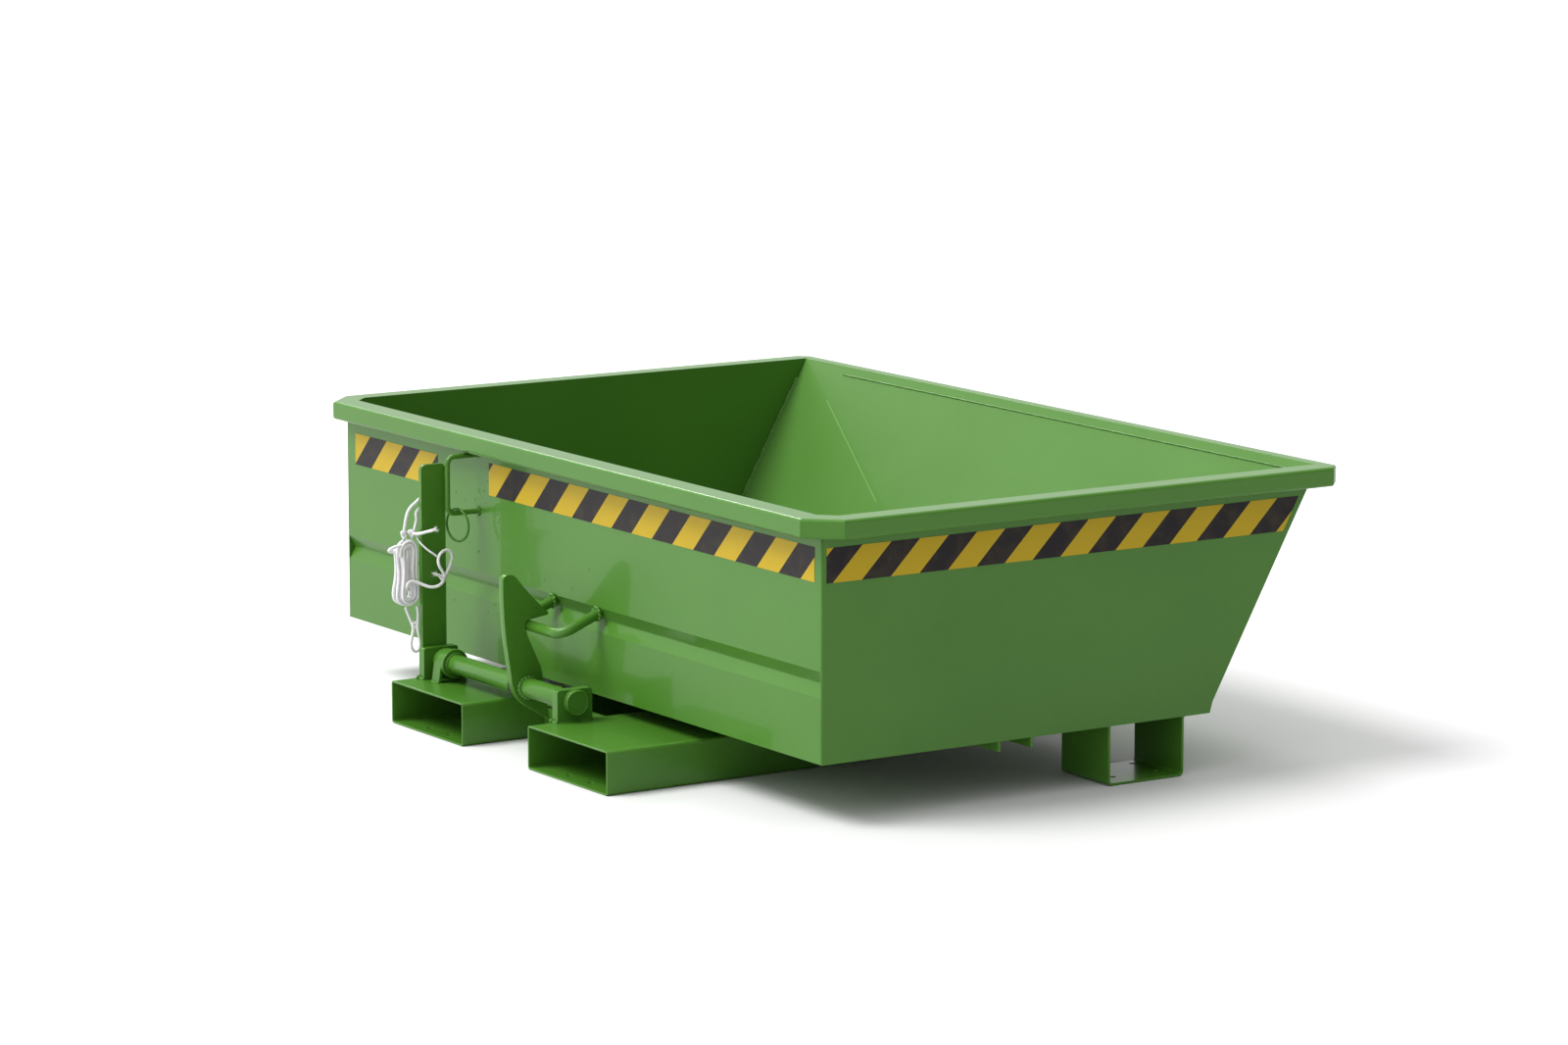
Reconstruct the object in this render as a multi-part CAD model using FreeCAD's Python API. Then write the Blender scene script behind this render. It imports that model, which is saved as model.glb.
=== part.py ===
"""Self dumping hopper: a bin that tips on a fork pocket chassis, held by a rope operated latch.

Lengths are in millimetres and angles in degrees. +X is to the right seen from the rear, +Y runs from
the rear wall to the pouring edge, +Z is up. Places are first given from the middle of the bin's rear
wall on the floor, and every piece is then moved so that the origin is at the middle of the base.
"""
import FreeCAD, Part
import math
import os

Vector = FreeCAD.Vector

# Bin
bin_half_width = 687.0
sheet = 3.0
bin_bottom_z = 90.0
wall_top_z = 414.0
bottom_length = 684.0
toe_lead = 5.0
toe_rise = 17.0
slope_reach = 174.0
corner_radius = 2.5

# Pressed groove across the rear wall
groove_low_z = 185.5
groove_high_z = 223.5
groove_depth = 10.0

# Rim, folded from sheet round the top edge
rim_side_overhang = 35.0
rim_rear_overhang = 30.0
rim_front_overhang = 37.0
rim_height = 29.0
rim_bend_radius = 5.0
rim_rear_clip = 45.0
rim_front_clip = 18.0
rim_corner_length = 62.0

# Flats under the bottom, one each side of the pivot
flat_thickness = 4.0
flat_depth = 15.0
flat_spacing = 56.9

# Feet
foot_side_inset = 4.0
foot_front_inset = 44.3
foot_length = 115.5
foot_width = 137.1
foot_sheet = 4.0
foot_bend_radius = 8.0
foot_pattern_inset_x = 49.5
foot_pattern_inset_y = 75.4

# Castor hole pattern, in the feet and in the pockets
castor_spacing_x = 60.0
castor_spacing_y = 80.0
castor_hole_radius = 4.5

# Fork pockets
pocket_height = 66.0
pocket_wall = 3.0
pocket_bend_radius = 5.0
pocket_mouth_y = -142.6
pocket_end_gap = 5.0
pocket_left_x = -294.0
pocket_left_width = 218.0
pocket_right_x = 117.0
pocket_right_width = 225.0
pocket_row_inset_y = 22.0

# Pivot
pivot_y = 334.0
pivot_z = 77.0
axle_radius = 10.0
axle_running_gap = 0.05
axle_end_length = 8.0
pivot_plate_thickness = 10.0
pivot_plate_reach = 80.0
pivot_plate_saddle = 20.0
pivot_plate_lip_gap = 0.5
pivot_plate_toe = 16.0
pivot_plate_back_rise = 50.0
pivot_plate_shoulder_drop = 7.0
pivot_plate_shoulder_back = 26.0
lug_thickness = 8.0
lug_side_gap = 2.0
lug_radius = 18.0
washer_radius = 12.5
washer_thickness = 4.0
washer_gap = 0.5
split_pin_radius = 1.5
split_pin_length = 24.0
split_pin_gap = 0.3

# Cross members between the pockets
member_thickness = 6.0
member_low_z = 12.0
member_high_z = 60.0
member_front_gap = 8.0
anchor_width = 18.0
anchor_top_z = 84.0
anchor_hole_gap = 0.2

# Latch shaft, its brackets, strap, collar and end cap
shaft_radius = 15.0
shaft_y = -70.0
shaft_z = 95.5
shaft_running_gap = 0.05
bracket_thickness = 15.0
bracket_width = 60.0
bracket_top_z = 115.0
bracket_corner = 4.0
bracket_left_x = -282.0
strap_x = -254.0
strap_width = 22.0
strap_thickness = 5.0
strap_foot_half_span = 24.5
collar_x = -230.0
collar_length = 8.0
collar_radius = 22.5
cap_gap = 0.4
cap_radius = 19.0
cap_length = 8.6
cap_dome = 3.5
weld_radius = 20.0
weld_length = 5.0

# Hook plate. The outline's shares are of the hook's rise above the shaft.
hook_x = -17.0
hook_thickness = 12.0
hook_rise = 173.2
hook_front_shares = [(0.216, -0.308), (0.148, 0.104), (0.133, 0.166), (0.0, 0.456)]
hook_tip_share = (0.202, 0.617)
hook_tip_round_shares = [(0.211, 0.632), (0.193, 0.652)]
hook_cam_shares = [(0.036, 0.808), (-0.112, 0.977)]
hook_top_shares = [(-0.144, 0.996), (-0.182, 1.0)]
hook_crown_shares = [(-0.222, 0.987), (-0.237, 0.953)]
hook_back_shares = [(-0.233, 0.722), (-0.204, 0.378)]
hook_heel_share = (-0.161, 0.098)
hook_tail_shares = [(-0.110, -0.067), (-0.005, -0.171)]
notch_gap = 1.0
notch_top_gap = 1.5
notch_round = 6.0
notch_wall_drop = 2.5

# Strike bar
bar_radius = 8.0
bar_left_x = -47.0
bar_right_x = 83.0
bar_wall_z = 214.0
bar_front_y = -64.0
bar_front_z = 188.0
bar_bend_radius = 22.0

# Release lever, the rope's pin on it
lever_gap = 0.5
lever_thickness = 8.0
lever_width = 42.0
lever_top_z = 397.0
lever_back = 2.0
lever_corner = 8.0
rope_pin_y = -78.0
rope_pin_z = 342.0
rope_pin_radius = 4.0
rope_pin_length = 14.0
rope_pin_head_radius = 7.0
rope_pin_head_length = 2.5

# Return spring on the shaft
spring_wire = 3.0
spring_mean_radius = 17.5
spring_pitch = 3.6
spring_side_gap = 6.0
spring_turns = 2
spring_exit_angle = 25.0
spring_anchor_overhang = 3.0
spring_arm_drop = 43.5
spring_hook_radius = 4.0
spring_finger = 9.0

# Bail and ring on the rear wall
bail_x = -270.0
bail_wire_radius = 4.0
bail_height = 88.0
bail_top_drop = 6.0
bail_reach = 54.0
bail_bend_radius = 12.0
bail_nub_radius = 6.5
bail_nub_length = 3.0
ring_mean_radius = 25.0
ring_wire_radius = 2.0
ring_y = -37.0
ring_rest_gap = 0.3
ring_turn_angle = 12.0

# Hazard tape
tape_width = 50.0
tape_thickness = 0.5
tape_top_drop = 15.0
tape_left_drop = 7.5
tape_right_start_x = -236.0
tape_right_end_inset = 18.0
tape_left_start_inset = 28.0
tape_left_end_x = -395.0
tape_side_rear_y = 8.0
tape_side_front_inset = 11.0

# Rope. The hank is one tube of loops, laid in layers that step along X.
rope_diameter = 5.0
tie_diameter = 3.0
hank_x = -303.0
hank_y = -112.0
hank_z = 229.0
hank_width = 45.0
hank_height = 108.0
hank_pitch = 5.8
hank_layers = 4
hank_loops_per_layer = 2
hank_turn_shares = (0, 0, 0, 0.25, 0.5, 0.5, 0.5, 0.75)
hank_waist_in = 3.5
hank_waist_rise = 10.0
tube_bend_share = 0.45

# Routes of the rope's free stretches, as points chosen along the real rope: x, y, z.
hanger_route = [
    (-304.5, -114.5, 281.6), (-302.5, -117.0, 298.0), (-300.0, -116.0, 314.0), (-298.5, -109.0, 328.0),
    (-298.0, -97.0, 340.0), (-298.0, -84.0, 349.6), (-298.0, -69.0, 349.0), (-298.0, -66.5, 335.0),
    (-298.0, -80.0, 327.5), (-298.5, -92.0, 320.0), (-300.0, -98.0, 307.0), (-302.0, -97.0, 294.0),
    (-303.0, -98.5, 281.0),
]
eye_route = [
    (-294.5, -111.0, 207.0), (-287.0, -108.0, 207.5), (-279.0, -101.0, 206.5), (-274.0, -90.0, 205.5),
    (-271.5, -77.0, 208.0), (-270.0, -66.0, 216.0), (-270.0, -58.0, 228.0), (-270.0, -51.0, 240.0),
    (-269.5, -46.0, 252.5), (-268.5, -50.0, 263.5), (-267.5, -60.0, 266.5), (-266.0, -71.0, 261.0),
    (-264.5, -74.0, 249.0), (-263.5, -69.0, 237.0), (-263.0, -63.5, 226.0),
]
eye_stub_route = [(-264.3, -68.0, 224.3), (-263.8, -73.5, 227.3), (-263.8, -79.5, 229.3)]
end_route = [
    (-299.6, -99.8, 288.8), (-290.5, -101.5, 291.0), (-280.0, -99.5, 295.0), (-271.0, -93.0, 299.5),
    (-264.0, -85.5, 303.0),
]
tie_route = [
    (-301.0, -103.0, 284.5), (-293.0, -103.5, 281.0), (-284.0, -99.5, 275.5), (-276.0, -92.0, 269.0),
    (-270.0, -83.0, 262.0), (-266.0, -75.5, 256.0),
]
tail_route = [
    (-301.5, -113.0, 175.2), (-301.5, -110.0, 168.0), (-301.5, -104.0, 156.0), (-301.0, -99.0, 143.0),
    (-300.5, -101.0, 131.0), (-300.0, -104.5, 120.0), (-299.5, -103.5, 110.5), (-298.5, -98.0, 104.5),
    (-297.0, -91.5, 107.5), (-295.5, -89.5, 116.5), (-295.0, -92.5, 128.5), (-295.0, -96.0, 142.0),
    (-295.5, -95.0, 157.0), (-297.0, -95.5, 169.0), (-298.0, -98.0, 176.0),
]

# Every cut runs past the solid that it cuts by this much
overrun = 20.0

# Sizes worked out from the ones above
inner_half_width = bin_half_width - sheet
toe_y = bottom_length + toe_lead
toe_z = bin_bottom_z + toe_rise
slope_top_y = toe_y + slope_reach
rim_half_width = bin_half_width + rim_side_overhang
rim_width = rim_side_overhang + sheet
rim_rear_y = -rim_rear_overhang
rim_front_y = slope_top_y + rim_front_overhang
foot_inner_x = bin_half_width - foot_side_inset - foot_length
foot_rear_y = bottom_length - foot_front_inset - foot_width
bail_high_z = wall_top_z - bail_top_drop
bail_low_z = bail_high_z - bail_height
tape_low_z = wall_top_z - tape_top_drop - tape_width
rim_top_z = wall_top_z + rim_height
groove_mid_z = (groove_low_z + groove_high_z) / 2
base_shift = Vector(0, -(pocket_mouth_y + rim_front_y) / 2, 0)
pocket_front_y = pivot_y - pocket_end_gap
lever_right_x = bracket_left_x - lever_gap
lever_left_x = lever_right_x - lever_thickness
bracket_right_x = pocket_right_x
cap_x = bracket_right_x + bracket_thickness + cap_gap
pin_low_x = lever_left_x - rope_pin_length
rope_radius = rope_diameter / 2

volumes = []


def box(x0, x1, y0, y1, z0, z1):
    """A block between two corners."""
    return Part.makeBox(x1 - x0, y1 - y0, z1 - z0, Vector(x0, y0, z0))


def rod_x(y, z, radius, x0, x1):
    """A round bar along X."""
    return Part.makeCylinder(radius, x1 - x0, Vector(x0, y, z), Vector(1, 0, 0))


def rod_z(x, y, radius, z0, z1):
    """A round bar along Z."""
    return Part.makeCylinder(radius, z1 - z0, Vector(x, y, z0), Vector(0, 0, 1))


def prism_x(points, x0, x1):
    """A plate whose outline is given in (y, z), from x0 to x1."""
    corners = [Vector(x0, y, z) for y, z in points]
    face = Part.Face(Part.makePolygon(corners + corners[:1]))
    return face.extrude(Vector(x1 - x0, 0, 0))


def prism_z(points, z0, z1):
    """A plate whose outline is given in (x, y), from z0 to z1."""
    corners = [Vector(x, y, z0) for x, y in points]
    face = Part.Face(Part.makePolygon(corners + corners[:1]))
    return face.extrude(Vector(0, 0, z1 - z0))


def line(a, b):
    """A straight edge."""
    return Part.LineSegment(a, b).toShape()


def arc(a, middle, b):
    """A round edge through three points."""
    return Part.Arc(a, middle, b).toShape()


def edges_along(shape, direction):
    """The straight edges of a shape that run along a direction."""
    found = []
    for edge in shape.Edges:
        if isinstance(edge.Curve, Part.Line):
            way = edge.tangentAt(edge.FirstParameter)
            if abs(way.dot(direction)) > 0.999:
                found.append(edge)
    return found


def write(name, *solids):
    """Move the solids to the part's frame and write them as one node."""
    shapes = [solid.copy() for solid in solids]
    for shape in shapes:
        shape.translate(base_shift)
    whole = shapes[0] if len(shapes) == 1 else Part.makeCompound(shapes)
    whole.exportStep("parts/" + name + ".step")
    volumes.append((name, whole.Volume, len(whole.Solids), whole.isValid()))


def sweep(edges, radius):
    """A round bar along joined edges."""
    first = edges[0]
    start = first.valueAt(first.FirstParameter)
    way = first.tangentAt(first.FirstParameter)
    profile = Part.Wire([Part.Circle(start, way, radius).toShape()])
    return Part.Wire(edges).makePipeShell([profile], True, False)


def rounded_path(points, radius_at):
    """Straight runs joined by tangent arcs. radius_at gives each corner's radius."""
    edges = []
    here = points[0]
    radii = []
    for before, corner, after in zip(points, points[1:], points[2:]):
        into = (corner - before).normalize()
        out = (after - corner).normalize()
        half_turn = into.getAngle(out) / 2
        shorter = min((corner - before).Length, (after - corner).Length)
        radius = radius_at(shorter, half_turn)
        reach = radius * math.tan(half_turn)
        start = corner - into * reach
        end = corner + out * reach
        inward = (out - into).normalize()
        depth = radius / math.cos(half_turn) - radius
        edges.append(line(here, start))
        edges.append(arc(start, corner + inward * depth, end))
        here = end
        radii.append(radius)
    edges.append(line(here, points[-1]))
    return edges, radii


def bent_bar(points, bend_radius, radius):
    """A bar bent to one radius at every corner."""
    edges, _ = rounded_path(points, lambda shorter, half_turn: bend_radius)
    return sweep(edges, radius)


def rope_stretch(name, route, diameter):
    """A free stretch of rope: each arc is as large as its two runs allow."""
    points = [Vector(*place) for place in route]
    edges, radii = rounded_path(points, lambda shorter, half: tube_bend_share * shorter / math.tan(half))
    solid = sweep(edges, diameter / 2)
    length = sum(edge.Length for edge in edges)
    wanted = math.pi * diameter ** 2 / 4 * length
    print(name, "length", round(length, 1), "volume share", round(solid.Volume / wanted, 4))
    print(name, "radii", [round(radius, 1) for radius in radii])
    return solid, length


def arc_from(start, way, end):
    """The arc that leaves start along way and ends at end."""
    chord = end - start
    across = way - chord * (way.dot(chord) / chord.dot(chord))
    angle = way.getAngle(chord)
    rise = chord.Length / 2 * math.tan(angle / 2)
    return arc(start, (start + end) / 2 + across.normalize() * rise, end)


def biarc(start, start_way, end, end_way):
    """Two tangent arcs from one point and direction to another."""
    span = end - start
    ways = start_way + end_way
    turn = 1 - start_way.dot(end_way)
    if turn < 1e-9:
        reach = span.dot(span) / (4 * span.dot(end_way))
    else:
        along = span.dot(ways)
        reach = (math.sqrt(along ** 2 + 2 * turn * span.dot(span)) - along) / (2 * turn)
    middle = (start + start_way * reach + end - end_way * reach) / 2
    if (middle - start).normalize().dot(start_way) > 1 - 1e-9:
        return [line(start, end)]
    first = arc_from(start, start_way, middle)
    second = arc_from(end, end_way * -1, middle)
    back = second.valueAt((second.FirstParameter + second.LastParameter) / 2)
    return [first, arc(middle, back, end)]


def biarcs(stations):
    """Tangent arcs through a list of places, each with its direction."""
    edges = []
    for (start, start_way), (end, end_way) in zip(stations, stations[1:]):
        edges += biarc(start, start_way, end, end_way)
    return edges


def wall_outline():
    """The rear wall's section, (y, z), with the pressed groove."""
    outer = [(0, bin_bottom_z), (0, groove_low_z), (groove_depth, groove_mid_z), (0, groove_high_z),
             (0, wall_top_z)]
    inner = [(y + sheet, z) for y, z in reversed(outer)]
    return outer + inner


def slope_y(z):
    """The outer face of the front plate at a height."""
    if z < toe_z:
        share = (z - bin_bottom_z) / (toe_z - bin_bottom_z)
        return bottom_length + share * (toe_y - bottom_length)
    share = (z - toe_z) / (wall_top_z - toe_z)
    return toe_y + share * (slope_top_y - toe_y)


def slope_gap(y0, z0, y1, z1):
    """How far the front plate's inner face lies behind its outer face, along Y."""
    return sheet * math.hypot(y1 - y0, z1 - z0) / (z1 - z0)


def make_side_plates():
    """The two side plates, with the rear edge rounded where it meets the rear wall."""
    outline = [(0, bin_bottom_z), (bottom_length, bin_bottom_z), (toe_y, toe_z), (slope_top_y, wall_top_z),
               (0, wall_top_z)]
    for side, name in ((-1, "side_plate_left"), (1, "side_plate_right")):
        low, high = sorted((side * inner_half_width, side * bin_half_width))
        plate = prism_x(outline, low, high)
        rear = [edge for edge in edges_along(plate, Vector(0, 0, 1))
                if edge.BoundBox.YMax < sheet and abs(edge.CenterOfMass.x) > bin_half_width - sheet / 2]
        write(name, plate.makeFillet(corner_radius, rear))


def make_bin_shell():
    """Rear wall, bottom and front plate, between the side plates."""
    write("rear_wall", prism_x(wall_outline(), -inner_half_width, inner_half_width))
    floor_z = bin_bottom_z + sheet
    bottom = [(sheet, bin_bottom_z), (bottom_length, bin_bottom_z), (slope_y(floor_z), floor_z),
              (sheet, floor_z)]
    write("bottom_plate", prism_x(bottom, -inner_half_width, inner_half_width))
    low_gap = slope_gap(bottom_length, bin_bottom_z, toe_y, toe_z)
    high_gap = slope_gap(toe_y, toe_z, slope_top_y, wall_top_z)
    lip_y = slope_y(rim_top_z)
    front = [(slope_y(floor_z), floor_z), (toe_y, toe_z), (lip_y, rim_top_z), (lip_y - high_gap, rim_top_z),
             (toe_y - low_gap, toe_z), (slope_y(floor_z) - low_gap, floor_z)]
    write("front_slope", prism_x(front, -inner_half_width, inner_half_width))


def rim_outline(inset):
    """The rim's plan, (x, y), moved inwards by an inset, with its corners clipped."""
    half = rim_half_width - inset
    rear = rim_rear_y + inset
    front = rim_front_y - inset
    shrink = inset * (2 - math.sqrt(2))
    rear_clip = max(rim_rear_clip - shrink, 0)
    front_clip = max(rim_front_clip - shrink, 0)
    points = []
    for x_way, y, y_way, clip in ((1, rear, 1, rear_clip), (1, front, -1, front_clip),
                                  (-1, front, -1, front_clip), (-1, rear, 1, rear_clip)):
        on_end = (x_way * (half - clip), y)
        on_side = (x_way * half, y + y_way * clip)
        corner = [on_end, on_side] if x_way * y_way > 0 else [on_side, on_end]
        points += corner if clip > 0 else corner[:1]
    return points


def open_to_front_plate(ring):
    """The rim, cut back to the front plate's outer face and closed at its ends by two cheeks."""
    low, high = wall_top_z - overrun, rim_top_z + overrun
    inside = [(toe_y, low), (slope_y(low), low), (slope_y(high), high), (toe_y, high)]
    ring = ring.cut(prism_x(inside, -inner_half_width, inner_half_width))
    rim_inner_y = rim_front_y - rim_width
    cheek = [(rim_inner_y, wall_top_z), (slope_top_y, wall_top_z), (slope_y(rim_top_z), rim_top_z),
             (rim_inner_y, rim_top_z)]
    ring = ring.fuse(prism_x(cheek, -bin_half_width, -inner_half_width))
    return ring.fuse(prism_x(cheek, inner_half_width, bin_half_width)).removeSplitter()


def make_rim():
    """A hollow folded rim: four lengths and four corner pieces."""
    outer = prism_z(rim_outline(0), wall_top_z, rim_top_z)
    rounded = [edge for edge in outer.Edges if edge.BoundBox.ZLength < sheet]
    outer = outer.makeFillet(rim_bend_radius, rounded)
    opening = prism_z(rim_outline(rim_width), wall_top_z - overrun, rim_top_z + overrun)
    core = prism_z(rim_outline(sheet), wall_top_z + sheet, rim_top_z - sheet)
    core = core.cut(prism_z(rim_outline(rim_width - sheet), wall_top_z, rim_top_z))
    ring = open_to_front_plate(outer.cut(opening).cut(core))
    x_out = rim_half_width + overrun
    x_in = rim_half_width - rim_corner_length
    rear_in = rim_rear_y + rim_corner_length
    front_in = rim_front_y - rim_corner_length
    heights = (wall_top_z - overrun, rim_top_z + overrun)
    ends = {"rim_rear": (rim_rear_y - overrun, rear_in), "rim_front": (front_in, rim_front_y + overrun)}
    corners = []
    for name, (low, high) in ends.items():
        write(name, ring.common(box(-x_in, x_in, low, high, *heights)))
        corners.append(ring.common(box(-x_out, -x_in, low, high, *heights)))
        corners.append(ring.common(box(x_in, x_out, low, high, *heights)))
    write("rim_left", ring.common(box(-x_out, -x_in, rear_in, front_in, *heights)))
    write("rim_right", ring.common(box(x_in, x_out, rear_in, front_in, *heights)))
    write("rim_corners", *corners)


def make_flats():
    """Two flats under the bottom, across the whole width."""
    for side, name in ((-1, "under_flat_rear"), (1, "under_flat_front")):
        middle = pivot_y + side * flat_spacing / 2
        write(name, box(-bin_half_width, bin_half_width, middle - flat_thickness / 2,
                        middle + flat_thickness / 2, bin_bottom_z - flat_depth, bin_bottom_z))


def castor_holes(x, y, z0, z1):
    """Four pegs that cut one castor pattern round a middle."""
    pegs = []
    for x_way in (-1, 1):
        for y_way in (-1, 1):
            pegs.append(rod_z(x + x_way * castor_spacing_x / 2, y + y_way * castor_spacing_y / 2,
                              castor_hole_radius, z0 - overrun, z1 + overrun))
    return pegs


def make_feet():
    """Two bent U plates, open to the sides, with castor holes in their bottoms."""
    for side, name in ((-1, "foot_left"), (1, "foot_right")):
        near, far = side * foot_inner_x, side * (foot_inner_x + foot_length)
        low, high = min(near, far), max(near, far)
        outer = box(low, high, foot_rear_y, foot_rear_y + foot_width, 0, bin_bottom_z)
        bends = [edge for edge in edges_along(outer, Vector(1, 0, 0)) if edge.BoundBox.ZMax < foot_sheet]
        outer = outer.makeFillet(foot_bend_radius, bends)
        inner = box(low - overrun, high + overrun, foot_rear_y + foot_sheet,
                    foot_rear_y + foot_width - foot_sheet, foot_sheet, bin_bottom_z + overrun)
        bends = [edge for edge in edges_along(inner, Vector(1, 0, 0)) if edge.BoundBox.ZMax < 2 * foot_sheet]
        inner = inner.makeFillet(foot_bend_radius - foot_sheet, bends)
        foot = outer.cut(inner)
        x = side * (foot_inner_x + foot_pattern_inset_x)
        y = foot_rear_y + foot_pattern_inset_y
        for peg in castor_holes(x, y, 0, foot_sheet):
            foot = foot.cut(peg)
        write(name, foot)


def make_pocket(name, x, width):
    """One fork pocket: a folded box section with castor holes in its bottom."""
    outer = box(x, x + width, pocket_mouth_y, pocket_front_y, 0, pocket_height)
    outer = outer.makeFillet(pocket_bend_radius, edges_along(outer, Vector(0, 1, 0)))
    inner = box(x + pocket_wall, x + width - pocket_wall, pocket_mouth_y - overrun,
                pocket_front_y + overrun, pocket_wall, pocket_height - pocket_wall)
    inner = inner.makeFillet(pocket_bend_radius - pocket_wall, edges_along(inner, Vector(0, 1, 0)))
    pocket = outer.cut(inner)
    y = pocket_mouth_y + pocket_row_inset_y + castor_spacing_y / 2
    for peg in castor_holes(x + width / 2, y, 0, pocket_wall):
        pocket = pocket.cut(peg)
    write(name, pocket)


def make_pivot_plate(name, x):
    """A plate on a pocket's side with a half round saddle for the axle."""
    saddle = pivot_plate_saddle
    end_y = pocket_front_y
    reach = math.sqrt(saddle ** 2 - pocket_end_gap ** 2)
    lip_reach = bin_bottom_z - pivot_z - pivot_plate_lip_gap
    lip_drop = math.sqrt(saddle ** 2 - lip_reach ** 2)
    turn = (math.atan2(-reach, -pocket_end_gap) + math.atan2(-lip_drop, lip_reach)) / 2
    middle = Vector(x, pivot_y + saddle * math.cos(turn), pivot_z + saddle * math.sin(turn))
    rear_y = pivot_y - pivot_plate_reach
    shoulder_y = pivot_y - pivot_plate_shoulder_back
    points = [Vector(x, pivot_y - axle_radius, pivot_z), Vector(x, pivot_y - saddle, pivot_z),
              Vector(x, shoulder_y, pivot_z - pivot_plate_shoulder_drop), Vector(x, rear_y, pivot_plate_back_rise),
              Vector(x, rear_y, pivot_plate_toe), Vector(x, end_y, pivot_plate_toe),
              Vector(x, end_y, pivot_z - reach)]
    edges = [line(a, b) for a, b in zip(points, points[1:])]
    front_low = Vector(x, pivot_y + lip_reach, pivot_z - lip_drop)
    front = Vector(x, pivot_y + lip_reach, pivot_z)
    lip = Vector(x, pivot_y + axle_radius, pivot_z)
    edges.append(arc(points[-1], middle, front_low))
    edges.append(line(front_low, front))
    edges.append(line(front, lip))
    edges.append(arc(lip, Vector(x, pivot_y, pivot_z - axle_radius), points[0]))
    write(name, Part.Face(Part.Wire(edges)).extrude(Vector(pivot_plate_thickness, 0, 0)))


def make_lug(name, x):
    """A lug that hangs between the two flats and turns on the axle."""
    half = (flat_spacing - flat_thickness) / 2
    top = [Vector(x, pivot_y - lug_radius, pivot_z), Vector(x, pivot_y - half, pivot_z),
           Vector(x, pivot_y - half, bin_bottom_z), Vector(x, pivot_y + half, bin_bottom_z),
           Vector(x, pivot_y + half, pivot_z), Vector(x, pivot_y + lug_radius, pivot_z)]
    edges = [line(a, b) for a, b in zip(top, top[1:])]
    edges.append(arc(top[-1], Vector(x, pivot_y, pivot_z - lug_radius), top[0]))
    lug = Part.Face(Part.Wire(edges)).extrude(Vector(lug_thickness, 0, 0))
    hole = rod_x(pivot_y, pivot_z, axle_radius + axle_running_gap, x - overrun, x + lug_thickness + overrun)
    write(name, lug.cut(hole))


def make_pivot():
    """Pivot plates beside the pockets, lugs beside them, and the axle through all."""
    left_in = pocket_left_x + pocket_left_width
    right_out = pocket_right_x + pocket_right_width
    plate = pivot_plate_thickness
    make_pivot_plate("pivot_plate_left_outer", pocket_left_x - plate)
    make_pivot_plate("pivot_plate_left_inner", left_in)
    make_pivot_plate("pivot_plate_right_inner", pocket_right_x - plate)
    make_pivot_plate("pivot_plate_right_outer", right_out)
    away = plate + lug_side_gap
    left_lug_x = pocket_left_x - away - lug_thickness
    right_lug_x = right_out + away
    make_lug("hinge_lug_left_outer", left_lug_x)
    make_lug("hinge_lug_left_inner", left_in + away)
    make_lug("hinge_lug_right_inner", pocket_right_x - away - lug_thickness)
    make_lug("hinge_lug_right_outer", right_lug_x)
    left_washer = left_lug_x - washer_gap - washer_thickness
    right_washer = right_lug_x + lug_thickness + washer_gap
    axle = rod_x(pivot_y, pivot_z, axle_radius, left_washer - axle_end_length,
                 right_washer + washer_thickness + axle_end_length)
    washers = []
    pins = []
    for x in (left_washer, right_washer):
        washer = rod_x(pivot_y, pivot_z, washer_radius, x, x + washer_thickness)
        washers.append(washer.cut(rod_x(pivot_y, pivot_z, axle_radius, x - overrun, x + overrun)))
    outward = split_pin_gap + split_pin_radius
    for x in (left_washer - outward, right_washer + washer_thickness + outward):
        pin = Part.makeCylinder(split_pin_radius, split_pin_length,
                                Vector(x, pivot_y - split_pin_length / 2, pivot_z), Vector(0, 1, 0))
        axle = axle.cut(pin)
        pins.append(pin)
    write("pivot_axle", axle)
    write("axle_washers", *washers)
    write("split_pins", *pins)


def spring_coil():
    """The spring's path: anchored arm, turns round the shaft, arm and finger on the hook's tail."""
    lead = spring_pitch / (2 * math.pi)
    turned = 2 * math.pi * spring_turns + math.radians(270 - spring_exit_angle)
    last_x = hook_x - spring_side_gap - spring_wire / 2
    first_x = last_x - lead * turned

    def station(angle):
        """Place and direction after turning by an angle, clockwise from the lowest point."""
        side = math.radians(270) - angle
        y = shaft_y + spring_mean_radius * math.cos(side)
        z = shaft_z + spring_mean_radius * math.sin(side)
        way = Vector(lead, spring_mean_radius * math.sin(side), -spring_mean_radius * math.cos(side))
        return Vector(first_x + lead * angle, y, z), way.normalize()

    angles = [math.radians(90) * quarter for quarter in range(4 * spring_turns + 3)] + [turned]
    stations = [station(angle) for angle in angles]
    start, start_way = stations[0]
    end, end_way = stations[-1]
    arm_start = start + start_way * ((member_thickness + spring_anchor_overhang - start.y) / start_way.y)
    corner = end + end_way * (-spring_arm_drop / end_way.z)
    finger_end = corner + Vector(spring_finger + spring_side_gap + hook_thickness / 2, 0, 0)
    tail_edges, _ = rounded_path([end, corner, finger_end], lambda shorter, half: spring_hook_radius)
    return [line(arm_start, start)] + biarcs(stations) + tail_edges, start


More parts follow.
